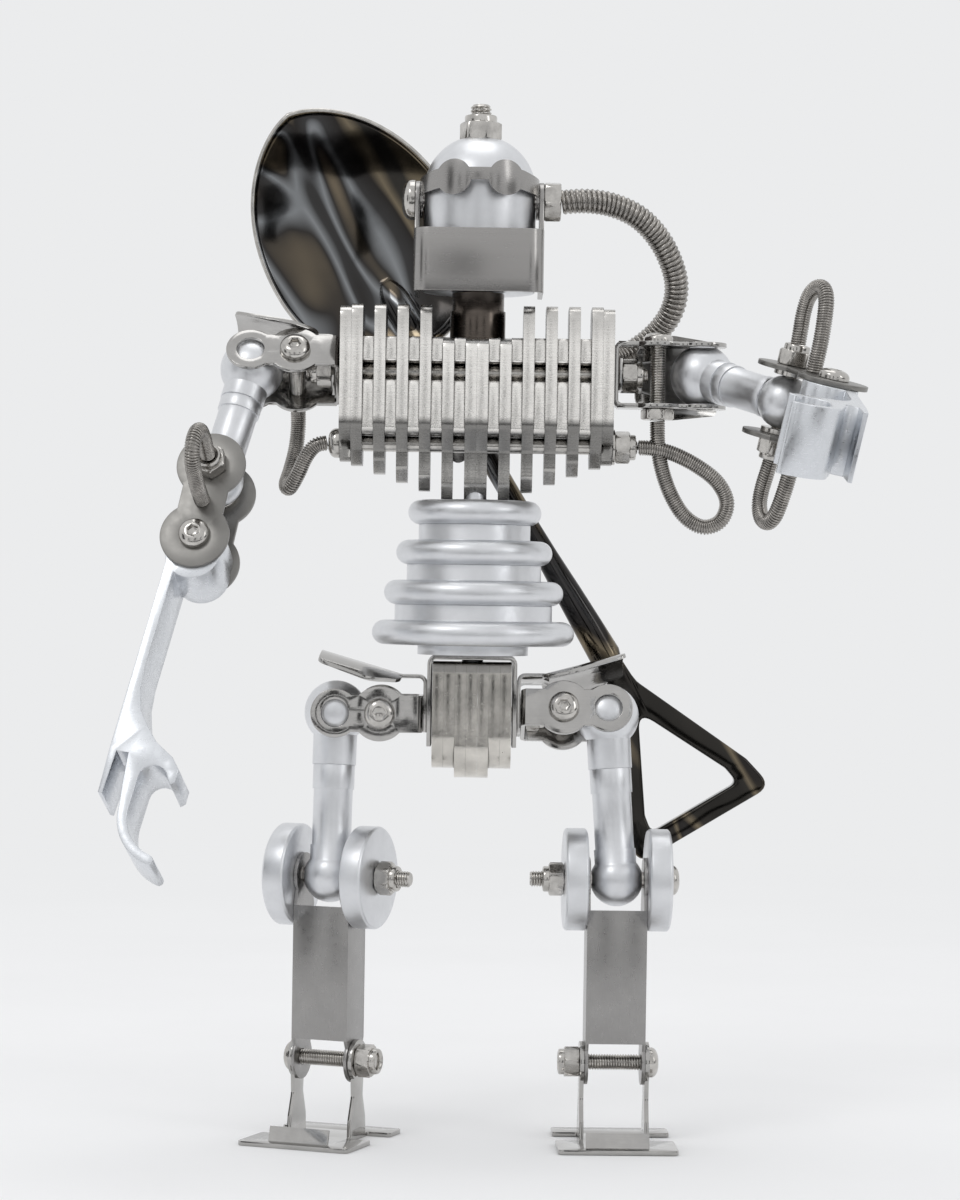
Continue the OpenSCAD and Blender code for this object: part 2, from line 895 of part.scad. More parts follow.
module forearm(side) metal(bright) forearm_frame(side) difference() {
  along_y(-forearm_w / 2, forearm_w)
    mirror([1, 0])
      forearm_outline();
  translate([0, -10, 0])
    rotate([-90, 0, 0])
      cylinder(r = hole_r, h = 20);
}

module thigh_ball(side) metal(satin) thigh_frame(side) rod_ball(thigh_seam);

module thigh_rod(side) metal(satin) difference() {
  thigh_frame(side)
    rod_body(thigh_seam, thigh_l, thigh_steps);
  knee_frame(side)
    translate([-10, 0, 0])
      axis_x()
        cylinder(r = hole_r, h = 20);
}

module knee_discs(side) metal(satin) knee_frame(side)
  for (s = [0, 1])
    mirror([s, 0, 0])
      translate([disc_in, 0, 0])
        axis_x()
          difference() {
            rotate_extrude()
              polygon([
                [0, 0], [knee_d / 2 - 0.4, 0], [knee_d / 2, 0.4], [knee_d / 2, disc_t - 0.4],
                [knee_d / 2 - 0.4, disc_t], [0, disc_t]
              ]);
            translate([0, 0, -1])
              cylinder(r = hole_r, h = disc_t + 2);
          }

// Side of the shin in (y, z): the channel's flank with a round ear at each end
module shin_side() {
  difference() {
    union() {
      circle(r = 4.2);
      translate([0, -shin_l])
        circle(r = 4.2);
      polygon(rounded([
        [-4.1, -5.5, 0.5], [-3.4, -3, 1], [-2.4, 0, 0], [2.4, 0, 0], [3.4, -3, 1], [4.1, -5.5, 0.5],
        [4.1, -30.6, 1], [2.2, -shin_l, 0], [-2.2, -shin_l, 0], [-4.1, -30.6, 0.5]
      ]));
    }
    circle(r = hole_r);
    translate([0, -shin_l])
      circle(r = hole_r);
  }
}

module shin(side) metal(steel) knee_frame(side) {
  for (s = [0, 1])
    mirror([s, 0, 0])
      along_x(shin_in, shin_t)
        shin_side();
  translate([-shin_out, -4.1, -30.6])
    cube([2 * shin_out, shin_t, 25.1]);
}

// Knee and ankle bolts with their heads outside, and their lock nuts inside
module leg_bolts(side) metal(steel) knee_frame(side) {
  knee_half = disc_in + disc_t + 0.02;
  ankle_half = foot_ear_out + 0.02;
  translate([knee_half, 0, 0])
    rotate([0, -90, 0])
      bolt(bolt_r, 2 * knee_half + nylock_h + 2.4, head_d, button_h);
  translate([-knee_half, 0, 0])
    rotate([0, -90, 0])
      nut(nut_af, nylock_h, bolt_r);
  translate([ankle_half, 0, -shin_l])
    rotate([0, -90, 0])
      bolt(bolt_r, 2 * ankle_half + nylock_h - 0.6, head_d, button_h);
  translate([-ankle_half, 0, -shin_l])
    rotate([0, -90, 0])
      nut(nut_af, nylock_h, bolt_r);
}

// Sheet foot: a sole notched beside two bent-up ears, and a low lip at the toe
module foot(side) metal(steel) knee_frame(side) translate([0, 0, -shin_l - ankle_z]) {
  sole_t = 0.8;
  half = 11.15;
  difference() {
    linear_extrude(sole_t)
      polygon(rounded([
        [-half, -16, 1], [half, -16, 1], [half, -4.6, 0.6], [foot_ear_out, -4.6, 0.3],
        [foot_ear_out, 4.6, 0.3], [half, 4.6, 0.6], [half, 10.5, 1], [-half, 10.5, 1],
        [-half, 4.6, 0.6], [-foot_ear_out, 4.6, 0.3], [-foot_ear_out, -4.6, 0.3], [-half, -4.6, 0.6]
      ]));
  }
  for (s = [0, 1])
    mirror([s, 0, 0])
      along_x(foot_ear_in, foot_ear_t)
        difference() {
          union() {
            translate([0, ankle_z])
              circle(r = 3.9);
            polygon(rounded([
              [-3.6, 0, 0], [3.6, 0, 0], [3.3, 4, 1], [1.9, 8.2, 2], [2.4, ankle_z, 0],
              [-2.4, ankle_z, 0], [-1.9, 8.2, 2], [-3.3, 4, 1]
            ]));
          }
          translate([0, ankle_z])
            circle(r = hole_r);
        }
  along_x(-5.9, 11.8)
    polygon(rounded([[-13.6, 0, 0], [-12.5, 0, 0], [-12.5, 0.8, 0], [-11.9, 3.3, 0], [-12.6, 3.5, 0]]));
}

// ---- hoses ----
// A tube swept along the points p, with the side vectors carried from ring to ring without twist
function across(v, t) = unit(v - (v * t) * t);
function carried(t, v, i = 0) = i == len(t) ? [] : let (u = across(v, t[i])) concat([u], carried(t, u, i + 1));
module hose(p, d, first = [0, 0, 1], sides = 8) {
  n = len(p);
  tangent = [for (i = [0 : n - 1]) unit(p[min(i + 1, n - 1)] - p[max(i - 1, 0)])];
  lead = carried(tangent, first);
  rings = [
    for (i = [0 : n - 1])
      let (u = lead[i], v = cross(tangent[i], u))
      for (k = [0 : sides - 1])
        p[i] + d / 2 * (cos(360 * k / sides) * u + sin(360 * k / sides) * v)
  ];
  walls = [
    for (i = [0 : n - 2])
      for (k = [0 : sides - 1])
        let (a = i * sides, b = a + sides, m = (k + 1) % sides)
        each [[a + k, a + m, b + m], [a + k, b + m, b + k]]
  ];
  start = [for (k = [1 : sides - 2]) [0, k + 1, k]];
  end = [for (k = [1 : sides - 2]) [(n - 1) * sides, (n - 1) * sides + k, (n - 1) * sides + k + 1]];
  polyhedron(points = rings, faces = concat(start, walls, end), convexity = 6);
}

head_hose_d = 4.8;
fine_hose_d = 3;

head_hose_route = [
  [15.7, 0, 177.8], [20, 0, 178.1], [25, 1, 177.6], [30, 2, 175.6], [34, 3.5, 172], [36.7, 5, 167.5],
  [38, 6.5, 163], [37.4, 8, 158.5], [35, 9.9, 154.6], [31.4, 10.6, 151.4], [28.2, 10.6, 149.6],
  [25.8, 9.5, 148.9], [24.7, 7.8, 148.6], [24.5, 5.6, 148.5]
];
shoulder_hose_left_route = [
  [-34.4, 6.9, 140], [-34.4, 9.4, 138], [-34.4, 10.4, 134.6], [-34.8, 9.8, 130.4], [-35.6, 7.8, 126.4],
  [-36.2, 5, 123.6], [-35.4, 2.6, 122.9], [-33.8, 1, 125.4], [-32.2, 0.3, 128.8], [-30.4, 0, 130.9], [-28.3, 0, 131.4]
];
shoulder_hose_right_route = [
  [34.4, 0, 136.4], [34.6, 0.3, 132], [35.4, 1, 127.6], [37.2, 2, 122.8], [40, 3, 118.6], [43.6, 3.4, 116.6],
  [46.9, 3, 117.8], [48, 2.2, 121.4], [46, 1.4, 125.2], [42, 0.8, 128.2], [37.4, 0.2, 130.4], [33.6, 0, 131.3], [30.9, 0, 131.4]
];
// In the elbow's frame, from the nut out, round and back to the link
elbow_hose_route = [
  [0, -10.95, 0], [0, -13.6, 0.3], [0.1, -16.6, 0.8], [0.2, -19.6, 0.6], [0.2, -21.7, -1.2], [0.2, -22, -3.7],
  [0.1, -20.3, -5.7], [0, -17, -6.8], [0, -12.5, -7.4], [0, -6.95, -7.5]
];

module head_hose() metal(dark) hose(head_hose_route, head_hose_d);
module shoulder_hose_left() metal(dark) hose(shoulder_hose_left_route, fine_hose_d);
module shoulder_hose_right() metal(dark) hose(shoulder_hose_right_route, fine_hose_d);
module elbow_hose_left() metal(dark) elbow_frame(left) hose(elbow_hose_route, fine_hose_d);
module elbow_hoses_right() metal(dark) elbow_frame(right) {
  hose(elbow_hose_route, fine_hose_d);
  mirror([0, 1, 0])
    hose(elbow_hose_route, fine_hose_d);
}

// ---- the nodes of each side ----
module shoulder_bracket(side) metal(steel) shoulder_frame(side) bracket(shoulder_reach);
module shoulder_screw(side) metal(steel) shoulder_frame(side) bracket_screw();
module pauldron(side) metal(bright) shoulder_frame(side) leaf(-shoulder_reach + bracket_t + 0.02, 6.6, 12.5);
module hip_bracket(side) metal(steel) hip_frame(side) bracket(hip_reach);
module hip_screw(side) metal(steel) hip_frame(side) bracket_screw();
module hip_skirt(side) metal(bright) hip_frame(side) leaf(-hip_reach - tab_t - 0.05, 7.4, 16);

head_dome();
crown_bolt();
eye_mask();
ear_bolt();
jaw_band();
neck_post();
long_ribs();
centre_ribs();
short_ribs();
chest_bolt();
shoulder_bolt();
shovel_clip();
shovel();
waist_ring_1();
waist_ring_2();
waist_ring_3();
waist_ring_4();
waist_stud();
pelvis_saddle();
pelvis_plates();
hip_bolt();
shoulder_bracket(left);  // shoulder_bracket_left
pauldron(left);  // pauldron_left
shoulder_screw(left);  // shoulder_screw_left
arm_ball(left);  // arm_ball_left
arm_rod(left);  // arm_rod_left
elbow_links(left);  // elbow_links_left
elbow_bolts(left);  // elbow_bolts_left
forearm(left);  // forearm_left
shoulder_bracket(right);  // shoulder_bracket_right
pauldron(right);  // pauldron_right
shoulder_screw(right);  // shoulder_screw_right
arm_ball(right);  // arm_ball_right
arm_rod(right);  // arm_rod_right
elbow_links(right);  // elbow_links_right
elbow_bolts(right);  // elbow_bolts_right
forearm(right);  // forearm_right
hip_bracket(left);  // hip_bracket_left
hip_skirt(left);  // hip_skirt_left
hip_screw(left);  // hip_screw_left
thigh_ball(left);  // thigh_ball_left
thigh_rod(left);  // thigh_rod_left
knee_discs(left);  // knee_discs_left
shin(left);  // shin_left
leg_bolts(left);  // leg_bolts_left
foot(left);  // foot_left
hip_bracket(right);  // hip_bracket_right
hip_skirt(right);  // hip_skirt_right
hip_screw(right);  // hip_screw_right
thigh_ball(right);  // thigh_ball_right
thigh_rod(right);  // thigh_rod_right
knee_discs(right);  // knee_discs_right
shin(right);  // shin_right
leg_bolts(right);  // leg_bolts_right
foot(right);  // foot_right
head_hose();
shoulder_hose_left();
shoulder_hose_right();
elbow_hose_left();
elbow_hoses_right();
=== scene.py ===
"""Looks for the poseable metal robot figure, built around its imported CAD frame."""

import json
from math import acos, cos, pi, radians, sin, sqrt, tau

import bpy
import numpy as np
from mathutils import Matrix, Vector


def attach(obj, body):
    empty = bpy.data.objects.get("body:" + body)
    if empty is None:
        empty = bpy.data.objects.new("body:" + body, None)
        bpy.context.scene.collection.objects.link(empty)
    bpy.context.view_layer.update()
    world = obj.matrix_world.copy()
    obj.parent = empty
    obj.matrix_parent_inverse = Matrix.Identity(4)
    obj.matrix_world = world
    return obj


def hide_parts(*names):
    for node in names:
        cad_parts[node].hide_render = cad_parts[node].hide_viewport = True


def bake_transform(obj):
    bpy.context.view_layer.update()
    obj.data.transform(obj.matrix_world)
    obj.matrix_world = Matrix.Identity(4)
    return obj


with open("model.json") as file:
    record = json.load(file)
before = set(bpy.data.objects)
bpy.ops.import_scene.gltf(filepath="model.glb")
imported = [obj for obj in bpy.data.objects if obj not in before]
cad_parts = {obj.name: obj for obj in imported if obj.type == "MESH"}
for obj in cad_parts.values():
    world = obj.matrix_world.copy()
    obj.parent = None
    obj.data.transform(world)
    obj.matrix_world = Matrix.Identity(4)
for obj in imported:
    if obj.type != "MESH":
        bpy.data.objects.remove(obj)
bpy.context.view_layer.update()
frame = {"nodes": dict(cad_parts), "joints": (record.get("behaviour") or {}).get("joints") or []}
scene = bpy.context.scene
MM = 0.001
FIGURE_AT = np.array([-2.1, 37.6, -0.02])      # the figure's shift in the CAD, in mm
JOINTS = {j["name"]: j for j in frame["joints"]}
SIDES = ("left", "right")
OUTWARD = {"left": -1, "right": 1}             # the way each side faces along x

# ---------------------------------------------------------------- camera
ROLL = 0.0157                                  # radians
EYE = np.array([1.235, -620.0, 102.0]) + FIGURE_AT
SENSOR_WIDTH, LENS = 36.0, 97.89               # mm
cam_data = bpy.data.cameras.new("camera")
cam_data.sensor_width = SENSOR_WIDTH
cam_data.lens = LENS
cam_data.clip_start = 0.02
cam_data.clip_end = 20
camera = bpy.data.objects.new("camera", cam_data)
scene.collection.objects.link(camera)
camera.matrix_world = Matrix((
    (cos(ROLL), -sin(ROLL), 0, EYE[0] * MM),
    (0, 0, -1, EYE[1] * MM),
    (sin(ROLL), cos(ROLL), 0, EYE[2] * MM),
    (0, 0, 0, 1),
))
scene.camera = camera


# ---------------------------------------------------------------- materials
def new_material(name):
    mat = bpy.data.materials.new(name)
    mat.use_nodes = True
    tree = mat.node_tree
    shader = tree.nodes["Principled BSDF"]
    return mat, tree, shader


def node(tree, kind, **values):
    n = tree.nodes.new(kind)
    for key, value in values.items():
        if key in n.inputs:
            n.inputs[key].default_value = value
        else:
            setattr(n, key, value)
    return n


def noise(tree, scale, detail=4.0, stretch=(1, 1, 1), rough=0.55, turn=(0, 0, 0), swirl=0.0):
    """Noise over the object's own space; scale is per metre along an unstretched, turned axis."""
    coords = node(tree, "ShaderNodeTexCoord")
    mapping = node(tree, "ShaderNodeMapping")
    mapping.vector_type = "TEXTURE"
    mapping.inputs["Scale"].default_value = tuple(1 / k for k in stretch)
    mapping.inputs["Rotation"].default_value = turn
    tex = node(tree, "ShaderNodeTexNoise", Scale=scale, Detail=detail, Roughness=rough, Distortion=swirl)
    tree.links.new(coords.outputs["Object"], mapping.inputs["Vector"])
    tree.links.new(mapping.outputs["Vector"], tex.inputs["Vector"])
    return tex.outputs["Fac"]


def ramp(tree, fac, low, high, a, b):
    """Maps fac from low..high to a..b, clamped."""
    n = node(tree, "ShaderNodeMapRange", **{"From Min": low, "From Max": high, "To Min": a, "To Max": b})
    tree.links.new(fac, n.inputs["Value"])
    return n.outputs["Result"]


def mix_colour(tree, fac, a, b):
    """Mixes a and b by fac, or multiplies them when fac is None."""
    n = node(tree, "ShaderNodeMix", data_type="RGBA")
    if fac is None:
        n.blend_type = "MULTIPLY"
        n.inputs[0].default_value = 1.0
    else:
        tree.links.new(fac, n.inputs[0])
    for socket, value in ((n.inputs[6], a), (n.inputs[7], b)):
        if hasattr(value, "links"):
            tree.links.new(value, socket)
        else:
            socket.default_value = (*value, 1)
    return n.outputs[2]


def colour_stops(tree, fac, stops):
    """A colour that runs through (place, colour) stops as fac goes from 0 to 1."""
    grade = node(tree, "ShaderNodeValToRGB")
    tree.links.new(fac, grade.inputs["Fac"])
    ladder = grade.color_ramp.elements
    ladder[0].position, ladder[0].color = stops[0][0], (*stops[0][1], 1)
    ladder[1].position, ladder[1].color = stops[-1][0], (*stops[-1][1], 1)
    for place, colour in stops[1:-1]:
        ladder.new(place).color = (*colour, 1)
    return grade.outputs["Color"]


def bump(tree, height, strength, distance, before=None):
    n = node(tree, "ShaderNodeBump", Strength=strength, Distance=distance)
    tree.links.new(height, n.inputs["Height"])
    if before is not None:
        tree.links.new(before, n.inputs["Normal"])
    return n.outputs["Normal"]


def metal(name, colour, rough, spread=0.08, shade=0.8, blotch=180, grain=2600, grain_depth=0.000006,
          brush=None, brush_depth=0.000008, brush_mix=0.35, specks=0.0, speck_colour=(0.08, 0.07, 0.06), swell=0.0,
          metallic=1.0, painted_side_shade=0.0, painted_shade_by_height=(), painted_reflection_swirls=(), lean=0.0):
    """A bare metal: colour mottling, fine grain, optional brushing along one axis, and dark specks.

    painted_side_shade darkens the faces of a stack's plates that face each other, as painted shade in the
    gaps between plates; painted_shade_by_height is a list of (height in mm, tint) that grades the colour up the
    object, as painted shade; and painted_reflection_swirls is a list of (noise value, colour) for long swirls
    that lean from the vertical, painted reflections of dark surroundings with bright streaks.
    """
    mat, tree, shader = new_material(name)
    shader.inputs["Metallic"].default_value = metallic
    cloud = noise(tree, blotch, 5.0)
    base = mix_colour(tree, ramp(tree, cloud, 0.35, 0.7, 0, 1), tuple(c * shade for c in colour), colour)
    level = ramp(tree, noise(tree, blotch * 3.1, 6.0), 0.3, 0.75, rough - spread, rough + spread)
    fine = noise(tree, grain, 3.0)
    normal = bump(tree, fine, 0.6, grain_depth)
    if swell:
        normal = bump(tree, noise(tree, 70, 1.0), 1.0, swell, normal)
    if brush is not None:
        lines = noise(tree, 1.0, 3.0, stretch=brush)
        normal = bump(tree, lines, 0.8, brush_depth, normal)
        add = node(tree, "ShaderNodeMath", operation="ADD")
        tree.links.new(level, add.inputs[0])
        tree.links.new(ramp(tree, lines, 0.3, 0.7, -spread, spread), add.inputs[1])
        level = add.outputs[0]
        darker = tuple(c * shade * 0.8 for c in colour)
        base = mix_colour(tree, ramp(tree, lines, 0.35, 0.65, 0, brush_mix), base, darker)
    if specks:
        dots = ramp(tree, noise(tree, 900, 6.0, rough=0.8), 0.62, 0.72, 0, specks)
        base = mix_colour(tree, dots, base, speck_colour)
    coords = node(tree, "ShaderNodeTexCoord")
    # painted reflections: dark swirls with cream and grey streaks are multiplied into the colour, standing in for
    # what polished steel reflects
    if painted_reflection_swirls:
        painted_streak_colour = colour_stops(tree, noise(tree, 1.0, 1.2, stretch=(75, 75, 11), turn=(0, -lean, 0), swirl=0.7), painted_reflection_swirls)
        base = mix_colour(tree, None, base, painted_streak_colour)
    # painted shade: the colour is graded darker by height, standing in for shade and dark reflections on the lower
    # and upper faces
    if painted_shade_by_height:
        height = node(tree, "ShaderNodeSeparateXYZ")
        tree.links.new(coords.outputs["Object"], height.inputs[0])
        low, high = painted_shade_by_height[0][0], painted_shade_by_height[-1][0]
        stops = [((z - low) / (high - low), (tint, tint * 0.985, tint * 0.96)) for z, tint in painted_shade_by_height]
        base = mix_colour(tree, None, base, colour_stops(
            tree, ramp(tree, height.outputs["Z"], low * MM, high * MM, 0, 1), stops))
    # painted shade: faces turned along x, towards the next plate of a stack, are darkened to near-black, standing in
    # for the shade in the gaps between plates
    if painted_side_shade:
        facing = node(tree, "ShaderNodeSeparateXYZ")
        tree.links.new(coords.outputs["Normal"], facing.inputs[0])
        across_x = node(tree, "ShaderNodeMath", operation="ABSOLUTE")
        tree.links.new(facing.outputs["X"], across_x.inputs[0])
        base = mix_colour(tree, ramp(tree, across_x.outputs[0], 0.45, 0.85, 0, painted_side_shade), base, (0.05, 0.042, 0.038))
    tree.links.new(base, shader.inputs["Base Color"])
    tree.links.new(level, shader.inputs["Roughness"])
    tree.links.new(normal, shader.inputs["Normal"])
    return mat


LEAN = radians(31.3)                           # the shovel's lean from the vertical

SATIN = metal("satin_aluminium", (0.76, 0.77, 0.79), 0.38, 0.05, 0.93, 260, 5200, 0.000012, specks=0.1,
              speck_colour=(0.45, 0.45, 0.46))
MILLED = metal("milled_aluminium", (0.74, 0.76, 0.79), 0.32, 0.05, 0.93, 400, 2400, 0.00001,
               brush=(900, 900, 5200), brush_depth=0.000008, brush_mix=0.1)
# painted shade on the ribs: the sides that face the next plate are darkened, and the colour is graded darker below
# the step at 136.4 mm and towards the top
RIB = metal("rib_plate", (0.97, 0.96, 0.945), 0.27, 0.035, 0.92, 420, 1500, 0.000006,
            brush=(160, 160, 3300), brush_depth=0.00003, brush_mix=0.2, swell=0.00015, painted_side_shade=0.92,
            painted_shade_by_height=((121, 0.42), (126, 0.52), (129, 0.30), (135.2, 0.26), (136.4, 1.0), (150, 1.0), (158, 0.55)))
# the short ribs carry the same painted shade, darker below 134.2 mm and towards the top
RIB_SHORT = metal("rib_plate_short", (0.97, 0.96, 0.945), 0.27, 0.035, 0.92, 420, 1500, 0.000006,
                  brush=(160, 160, 3300), brush_depth=0.00003, brush_mix=0.2, swell=0.00015, painted_side_shade=0.92,
                  painted_shade_by_height=((121, 0.42), (129, 0.4), (133.3, 0.35), (134.2, 1.0), (148.5, 1.0), (152, 0.8)))
# painted shade on the pelvis plates: darkened sides between plates, and colour graded darker from 68 mm up to 84 mm
NICKEL = metal("nickel_plate", (0.86, 0.84, 0.80), 0.22, 0.08, 0.75, 300, 1500, 0.00002, specks=0.25,
               painted_side_shade=0.9, painted_shade_by_height=((68, 0.95), (78, 0.75), (84, 0.5), (91, 0.6)))
SHEET = metal("polished_sheet", (0.50, 0.49, 0.475), 0.14, 0.04, 0.85, 220, 3000, 0.000004,
              brush=(300, 5200, 5200), brush_depth=0.000003, brush_mix=0.15, swell=0.0002)
BRUSHED = metal("brushed_sheet", (0.36, 0.35, 0.34), 0.26, 0.015, 0.97, 160, 3000, 0.000001,
                brush=(25, 25, 7000), brush_depth=0.000004, brush_mix=0.15, swell=0.00012)
SHIN = metal("rolled_sheet", (0.36, 0.352, 0.345), 0.3, 0.03, 0.92, 240, 3200, 0.000006,
             brush=(6000, 6000, 420), brush_depth=0.000006, brush_mix=0.15, specks=0.15)
DULL = metal("dull_sheet", (0.27, 0.263, 0.25), 0.38, 0.04, 0.9, 260, 2800, 0.000006, specks=0.15)
BOLT = metal("fastener_steel", (0.62, 0.60, 0.57), 0.18, 0.06, 0.7, 500, 2600, 0.000006, specks=0.2)
# painted reflections: the shovel's near-white base is multiplied by near-black swirls with bright streaks that stand
# in for what the polished steel reflects
PAINTED_REFLECTION_POLISH = metal("dark_polish", (0.95, 0.95, 0.95), 0.12, 0.03, 0.9, 120, 2600, 0.000002, swell=0.0006, lean=LEAN,
             painted_reflection_swirls=((0.30, (0.035, 0.033, 0.030)), (0.40, (0.045, 0.042, 0.038)), (0.45, (0.20, 0.165, 0.115)),
                      (0.49, (0.035, 0.032, 0.030)), (0.56, (0.055, 0.054, 0.054)), (0.60, (0.26, 0.27, 0.28)),
                      (0.64, (0.045, 0.042, 0.04)), (0.70, (0.26, 0.21, 0.145)), (0.8, (0.09, 0.08, 0.07))))
NECK = metal("dark_turned", (0.13, 0.11, 0.095), 0.24, 0.05, 0.8, 200, 2600, 0.000004,
             brush=(120, 120, 6000), brush_depth=0.000004, brush_mix=0.2)
WIRE = metal("spring_wire", (0.42, 0.40, 0.375), 0.25, 0.06, 0.65, 500, 2600, 0.000005, specks=0.2)

CAD_LOOKS = {
    SATIN: ("head_dome", "waist_ring_1", "waist_ring_2", "waist_ring_3", "waist_ring_4", "waist_stud", "arm_ball",
            "arm_rod", "thigh_ball", "thigh_rod", "knee_discs"),
    MILLED: ("forearm",),
    RIB: ("long_ribs", "centre_ribs"),
    RIB_SHORT: ("short_ribs",),
    NICKEL: ("pelvis_plates",),
    SHEET: ("shoulder_bracket", "pauldron", "hip_bracket", "hip_skirt", "pelvis_saddle", "foot"),
    BRUSHED: ("jaw_band", "eye_mask", "shovel_clip"),
    SHIN: ("shin",),
    DULL: ("elbow_links",),
    NECK: ("neck_post",),
}
BEVELS = {"long_ribs": 0.45, "centre_ribs": 0.45, "short_ribs": 0.4, "pelvis_plates": 0.35, "forearm": 0.16,
          "knee_discs": 0.12, "waist_ring_1": 0.1, "neck_post": 0.25}


def look(name, mat, width):
    """Gives a CAD node its material, smooth faces and softened edges."""
    obj = frame["nodes"][name]
    mesh = obj.data
    mesh.materials.clear()
    mesh.materials.append(mat)
    if "custom_normal" in mesh.attributes:
        mesh.attributes.remove(mesh.attributes["custom_normal"])
    weld = obj.modifiers.new("weld", "WELD")
    weld.merge_threshold = 0.000002
    soft = obj.modifiers.new("bevel", "BEVEL")
    soft.width = width * MM
    soft.segments = 3 if width > 0.2 else 2
    soft.limit_method = "ANGLE"
    soft.angle_limit = radians(40)
    soft.use_clamp_overlap = True
    mesh.shade_smooth()
    mesh.set_sharp_from_angle(angle=radians(32))


for mat, names in CAD_LOOKS.items():
    for base in names:
        for name in (base, base + "_left", base + "_right"):
            if name in frame["nodes"]:
                look(name, mat, BEVELS.get(base, 0.1))


# ---------------------------------------------------------------- mesh tools, in mm
class Shape:
    """Points and faces collected in the figure's own frame, in mm."""

    def __init__(self):
        self.points, self.faces, self.count = [], [], 0

    def add(self, points, faces, place=None):
        points = np.asarray(points, float)
        if place is not None:
            points = points @ place[:3, :3].T + place[:3, 3]
            if np.linalg.det(place[:3, :3]) < 0:
                faces = [tuple(reversed(f)) for f in faces]
        self.points.append(points)
        self.faces += [tuple(i + self.count for i in f) for f in faces]
        self.count += len(points)
        return self

    def piece(self, name, mat, body, replaced=(), slot=None, sharp=35):
        """Makes the object, rides it on its body and hides the CAD nodes it stands for."""
        points = np.vstack(self.points) + FIGURE_AT
        mesh = bpy.data.meshes.new(name)
        mesh.from_pydata((points * MM).tolist(), [], self.faces)
        mesh.validate()
        mesh.materials.append(mat)
        mesh.shade_smooth()
        mesh.set_sharp_from_angle(angle=radians(sharp))
        obj = bpy.data.objects.new(name, mesh)
        scene.collection.objects.link(obj)
        if body:
            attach(obj, body)
        if replaced:
            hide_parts(*replaced)
        return obj


def tube(rings, closed=(True, True), loop=False):
    """Points and faces through a list of rings with the same number of points each."""
    n, m = len(rings), len(rings[0])
    points = np.vstack(rings)
    faces = []
    for i in range(n if loop else n - 1):
        a, b = i * m, (i + 1) % n * m
        faces += [(a + k, a + (k + 1) % m, b + (k + 1) % m, b + k) for k in range(m)]
    if not loop:
        if closed[0]:
            faces.append(tuple(range(m - 1, -1, -1)))
        if closed[1]:
            faces.append(tuple((n - 1) * m + k for k in range(m)))
    return points, faces


def ring(r, z, n=48):
    a = np.arange(n) * tau / n
    r = r(a) if callable(r) else np.full(n, r)
    return np.stack([r * np.cos(a), r * np.sin(a), np.full(n, z)], 1)


def hexagon(flats):
    """Radius of a hexagon by angle, for its width across flats."""
    return lambda a: flats / 2 / np.cos((a + pi / 6) % (pi / 3) - pi / 6)


def towards(origin, z, x=(0, 0, 1)):
    """A frame at origin with its z axis along z, always right-handed."""
    z = np.asarray(z, float) / np.linalg.norm(z)
    x = np.asarray(x, float)
    x = x - z * (x @ z)
    if np.linalg.norm(x) < 0.1:
        x = np.cross(z, (0, 1, 0))
    x = x / np.linalg.norm(x)
    place = np.eye(4)
    place[:3, 0], place[:3, 1], place[:3, 2], place[:3, 3] = x, np.cross(z, x), z, origin
    return place


def thread(r, z0, z1, pitch, place, shape, n=20, steps=6):
    """A threaded length with a chamfered far end."""
    depth = 0.58 * pitch
    count = max(2, int(round((z1 - z0) / pitch * steps)))
    a = np.arange(n) * tau / n
    rings = [ring(r - 0.5 * depth, z0, n)]
    for i in range(count + 1):
        z = z0 + (z1 - z0) * i / count
        phase = (z / pitch - a / tau) % 1.0
        wave = np.clip(1.55 - 3.1 * np.abs(phase - 0.5), 0, 1)
        end = min(1.0, (z1 - z) / (0.7 * pitch))
        rr = r - depth * (1 - wave) - (1 - end) * 0.22 * r * wave
        rings.append(np.stack([rr * np.cos(a), rr * np.sin(a), np.full(n, z)], 1))
    rings.append(ring(0.35 * r, z1 + 0.01, n))
    shape.add(*tube(rings), place)


def rod(r, z0, z1, place, shape, n=24):
    shape.add(*tube([ring(r, z0, n), ring(r, z1, n)]), place)


def nut(flats, h, bore, z0, place, shape, lock=True, turn=0.0):
    """A chamfered hexagon nut; a lock nut has a round collar over its nylon ring."""
    n = 72
    corner = flats / 2 / cos(pi / 6)
    hex_h = 0.72 * h if lock else h
    shift = Matrix.Rotation(turn, 4, "Z")
    place = place @ np.array(shift)

    def cut(limit):
        return lambda a: np.minimum(hexagon(flats)(a), limit)

    low, high = flats / 2 * 0.97, corner
    chamfer = 0.3
    middle = cut((low + high) / 2)
    rings = [ring(bore, z0, n), ring(bore + 0.25, z0, n), ring(low, z0, n), ring(middle, z0 + chamfer * 0.4, n),
             ring(cut(high), z0 + chamfer, n), ring(cut(high), z0 + hex_h - chamfer, n),
             ring(middle, z0 + hex_h - 0.4 * chamfer, n), ring(low, z0 + hex_h, n)]
    if lock:
        wide = 0.44 * flats
        rings += [ring(wide, z0 + hex_h, n), ring(wide, z0 + h - 0.35, n), ring(wide - 0.12, z0 + h - 0.1, n),
                  ring(wide - 0.45, z0 + h, n), ring(wide - 0.6, z0 + h - 0.05, n), ring(bore + 0.1, z0 + h - 0.3, n)]
    else:
        rings += [ring(bore + 0.25, z0 + h, n)]
    rings += [ring(bore, z0 + (h - 0.5 if lock else h), n)]
    shape.add(*tube(rings, loop=True), place)


